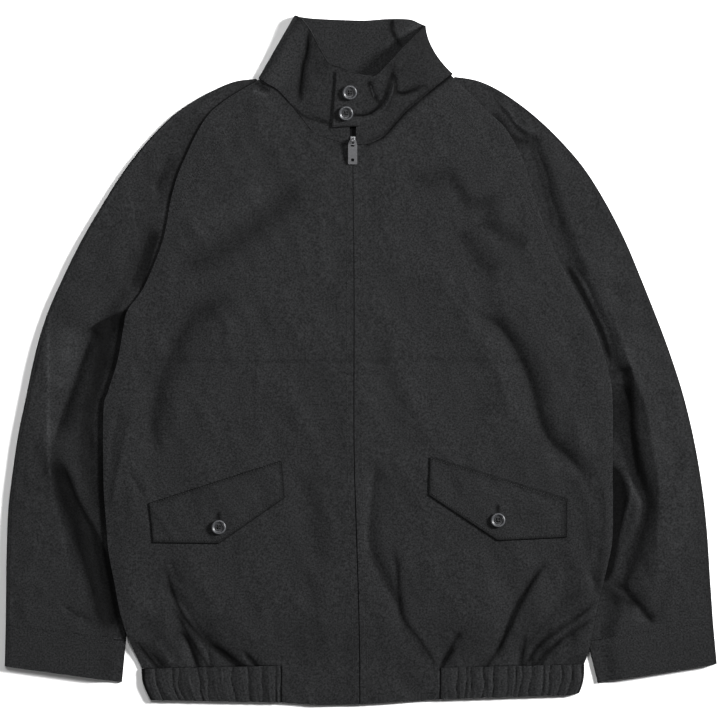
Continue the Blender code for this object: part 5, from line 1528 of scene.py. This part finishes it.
# ---- stage ----
def area_light(name, place, size, power):
    """A round light that shines on the middle of the jacket."""
    data = bpy.data.lights.new(name, "AREA")
    data.shape = "DISK"
    data.size = size
    data.energy = power
    made = bpy.data.objects.new(name, data)
    made.location = place
    made.rotation_euler = (Vector() - Vector(place)).to_track_quat("-Z", "Y").to_euler()
    bpy.context.scene.collection.objects.link(made)


def make_floor():
    """A plain pale square under the jacket."""
    mesh = bpy.data.meshes.new("floor")
    corners = [(-1, -1), (1, -1), (1, 1), (-1, 1)]
    mesh.from_pydata([(x * FLOOR_REACH, y * FLOOR_REACH, 0) for x, y in corners], [], [(0, 1, 2, 3)])
    colour = bpy.context.scene.jacket_colours.floor
    floor = linked("floor", mesh, plain_finish("floor_paint", colour, 0.9, grain_scale=3.0, variation=0.01))
    floor.location.z = -FLOOR_GAP


def make_camera():
    """A long lens straight overhead."""
    data = bpy.data.cameras.new("overhead")
    data.sensor_width = FILM_WIDTH
    data.lens = FILM_WIDTH * CAMERA_PLACE[2] / VIEW_WIDTH
    data.clip_end = 50.0
    camera = bpy.data.objects.new("overhead", data)
    camera.location = CAMERA_PLACE
    bpy.context.scene.collection.objects.link(camera)
    bpy.context.scene.camera = camera


def make_stage():
    """The floor, the dim white world, the lights, the view's contrast and the camera."""
    make_floor()
    scene = bpy.context.scene
    scene.world = bpy.data.worlds.new("studio")
    scene.world.use_nodes = True
    background = scene.world.node_tree.nodes["Background"]
    background.inputs["Color"].default_value = (1, 1, 1, 1)
    background.inputs["Strength"].default_value = 0.05
    for light in LIGHTS:
        area_light(*light)
    scene.view_settings.view_transform = "Standard"
    scene.view_settings.look = "None"
    scene.view_settings.gamma = 0.78
    make_camera()


# ---- operators ----
class JacketOperator(bpy.types.Operator):
    """What the jacket's operators share."""
    bl_options = {"REGISTER", "UNDO"}


class JACKET_OT_back(JacketOperator):
    """Build the back, which lies on the floor under the rest."""
    bl_idname = "jacket.back"
    bl_label = "Back"

    def execute(self, context):
        make_back(finish_named("shell_cloth"))
        return {"FINISHED"}


class JACKET_OT_fronts(JacketOperator):
    """Build both fronts with their folds and sewing."""
    bl_idname = "jacket.fronts"
    bl_label = "Fronts"

    def execute(self, context):
        for side in FACING:
            make_front(side, finish_named("shell_cloth"))
            seams = [on_front(side, line, THREAD_LIFT) for line in zip_lines(side) + raglan_lines(side)]
            sew(f"front_{side}_stitches", seams, finish_named("thread"))
        return {"FINISHED"}


class JACKET_OT_sleeves(JacketOperator):
    """Build both sleeves with their folds."""
    bl_idname = "jacket.sleeves"
    bl_label = "Sleeves"

    def execute(self, context):
        for side in FACING:
            make_sleeve(side, finish_named("shell_cloth"))
        return {"FINISHED"}


class JACKET_OT_cuffs(JacketOperator):
    """Build both cuffs with their sewing."""
    bl_idname = "jacket.cuffs"
    bl_label = "Cuffs"

    def execute(self, context):
        for side in FACING:
            seams = cuff_seams(make_cuff(side, finish_named("shell_cloth")))
            sew(f"cuff_{side}_stitches", seams, finish_named("thread"))
        return {"FINISHED"}


class JACKET_OT_hem_band(JacketOperator):
    """Build the hem band with its gathers."""
    bl_idname = "jacket.hem_band"
    bl_label = "Hem band"

    def execute(self, context):
        make_hem_band(finish_named("shell_cloth"))
        return {"FINISHED"}


class JACKET_OT_collar(JacketOperator):
    """Build the collar and the neck tab."""
    bl_idname = "jacket.collar"
    bl_label = "Collar and tab"

    def execute(self, context):
        make_collar(finish_named("shell_cloth"))
        make_neck_tab(finish_named("shell_cloth"))
        return {"FINISHED"}


class JACKET_OT_flaps(JacketOperator):
    """Build both pocket flaps."""
    bl_idname = "jacket.flaps"
    bl_label = "Pocket flaps"

    def execute(self, context):
        for side in FACING:
            make_flap(side, finish_named("shell_cloth"))
            sew(f"flap_{side}_stitches", flap_seams(side), finish_named("thread"))
        return {"FINISHED"}


class JACKET_OT_buttons(JacketOperator):
    """Build the four buttons and the thread that holds them."""
    bl_idname = "jacket.buttons"
    bl_label = "Buttons"

    def execute(self, context):
        for name, place, tilt in button_spots():
            make_button(name, place, tilt, finish_named("button_plastic"), finish_named("thread"))
        return {"FINISHED"}


class JACKET_OT_zip(JacketOperator):
    """Build the zip's teeth and finish its tapes, slider and pull."""
    bl_idname = "jacket.zip"
    bl_label = "Zip"

    def execute(self, context):
        make_zip_chain(finish_named("zip_teeth_metal"))
        for node, finish in ZIP_FINISHES.items():
            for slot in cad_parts[node].material_slots:
                slot.material = finish_named(finish)
        return {"FINISHED"}


class JACKET_OT_stage(JacketOperator):
    """Lay the pale floor and set the soft lights and the camera overhead."""
    bl_idname = "jacket.stage"
    bl_label = "Floor, light and camera"

    def execute(self, context):
        make_stage()
        return {"FINISHED"}


OPERATORS = (JACKET_OT_stage, JACKET_OT_back, JACKET_OT_sleeves, JACKET_OT_cuffs, JACKET_OT_fronts,
             JACKET_OT_hem_band, JACKET_OT_collar, JACKET_OT_flaps, JACKET_OT_buttons, JACKET_OT_zip)


class VIEW3D_PT_jacket(bpy.types.Panel):
    """The jacket's sizes, colours and pieces."""
    bl_label = "Harrington jacket"
    bl_idname = "VIEW3D_PT_jacket"
    bl_space_type = "VIEW_3D"
    bl_region_type = "UI"
    bl_category = "Jacket"

    def draw(self, context):
        for group in (context.scene.jacket_sizes, context.scene.jacket_colours):
            box = self.layout.box()
            for name in group.__annotations__:
                box.prop(group, name)
        for operator in OPERATORS:
            self.layout.operator(operator.bl_idname)


CLASSES = (JacketSizes, JacketColours, *OPERATORS, VIEW3D_PT_jacket)


def register():
    for each in CLASSES:
        bpy.utils.register_class(each)
    bpy.types.Scene.jacket_sizes = bpy.props.PointerProperty(type=JacketSizes)
    bpy.types.Scene.jacket_colours = bpy.props.PointerProperty(type=JacketColours)


def unregister():
    del bpy.types.Scene.jacket_colours
    del bpy.types.Scene.jacket_sizes
    for each in reversed(CLASSES):
        bpy.utils.unregister_class(each)


def main():
    register()
    for operator in OPERATORS:
        group, name = operator.bl_idname.split(".")
        getattr(getattr(bpy.ops, group), name)()


if __name__ == "__main__":
    main()
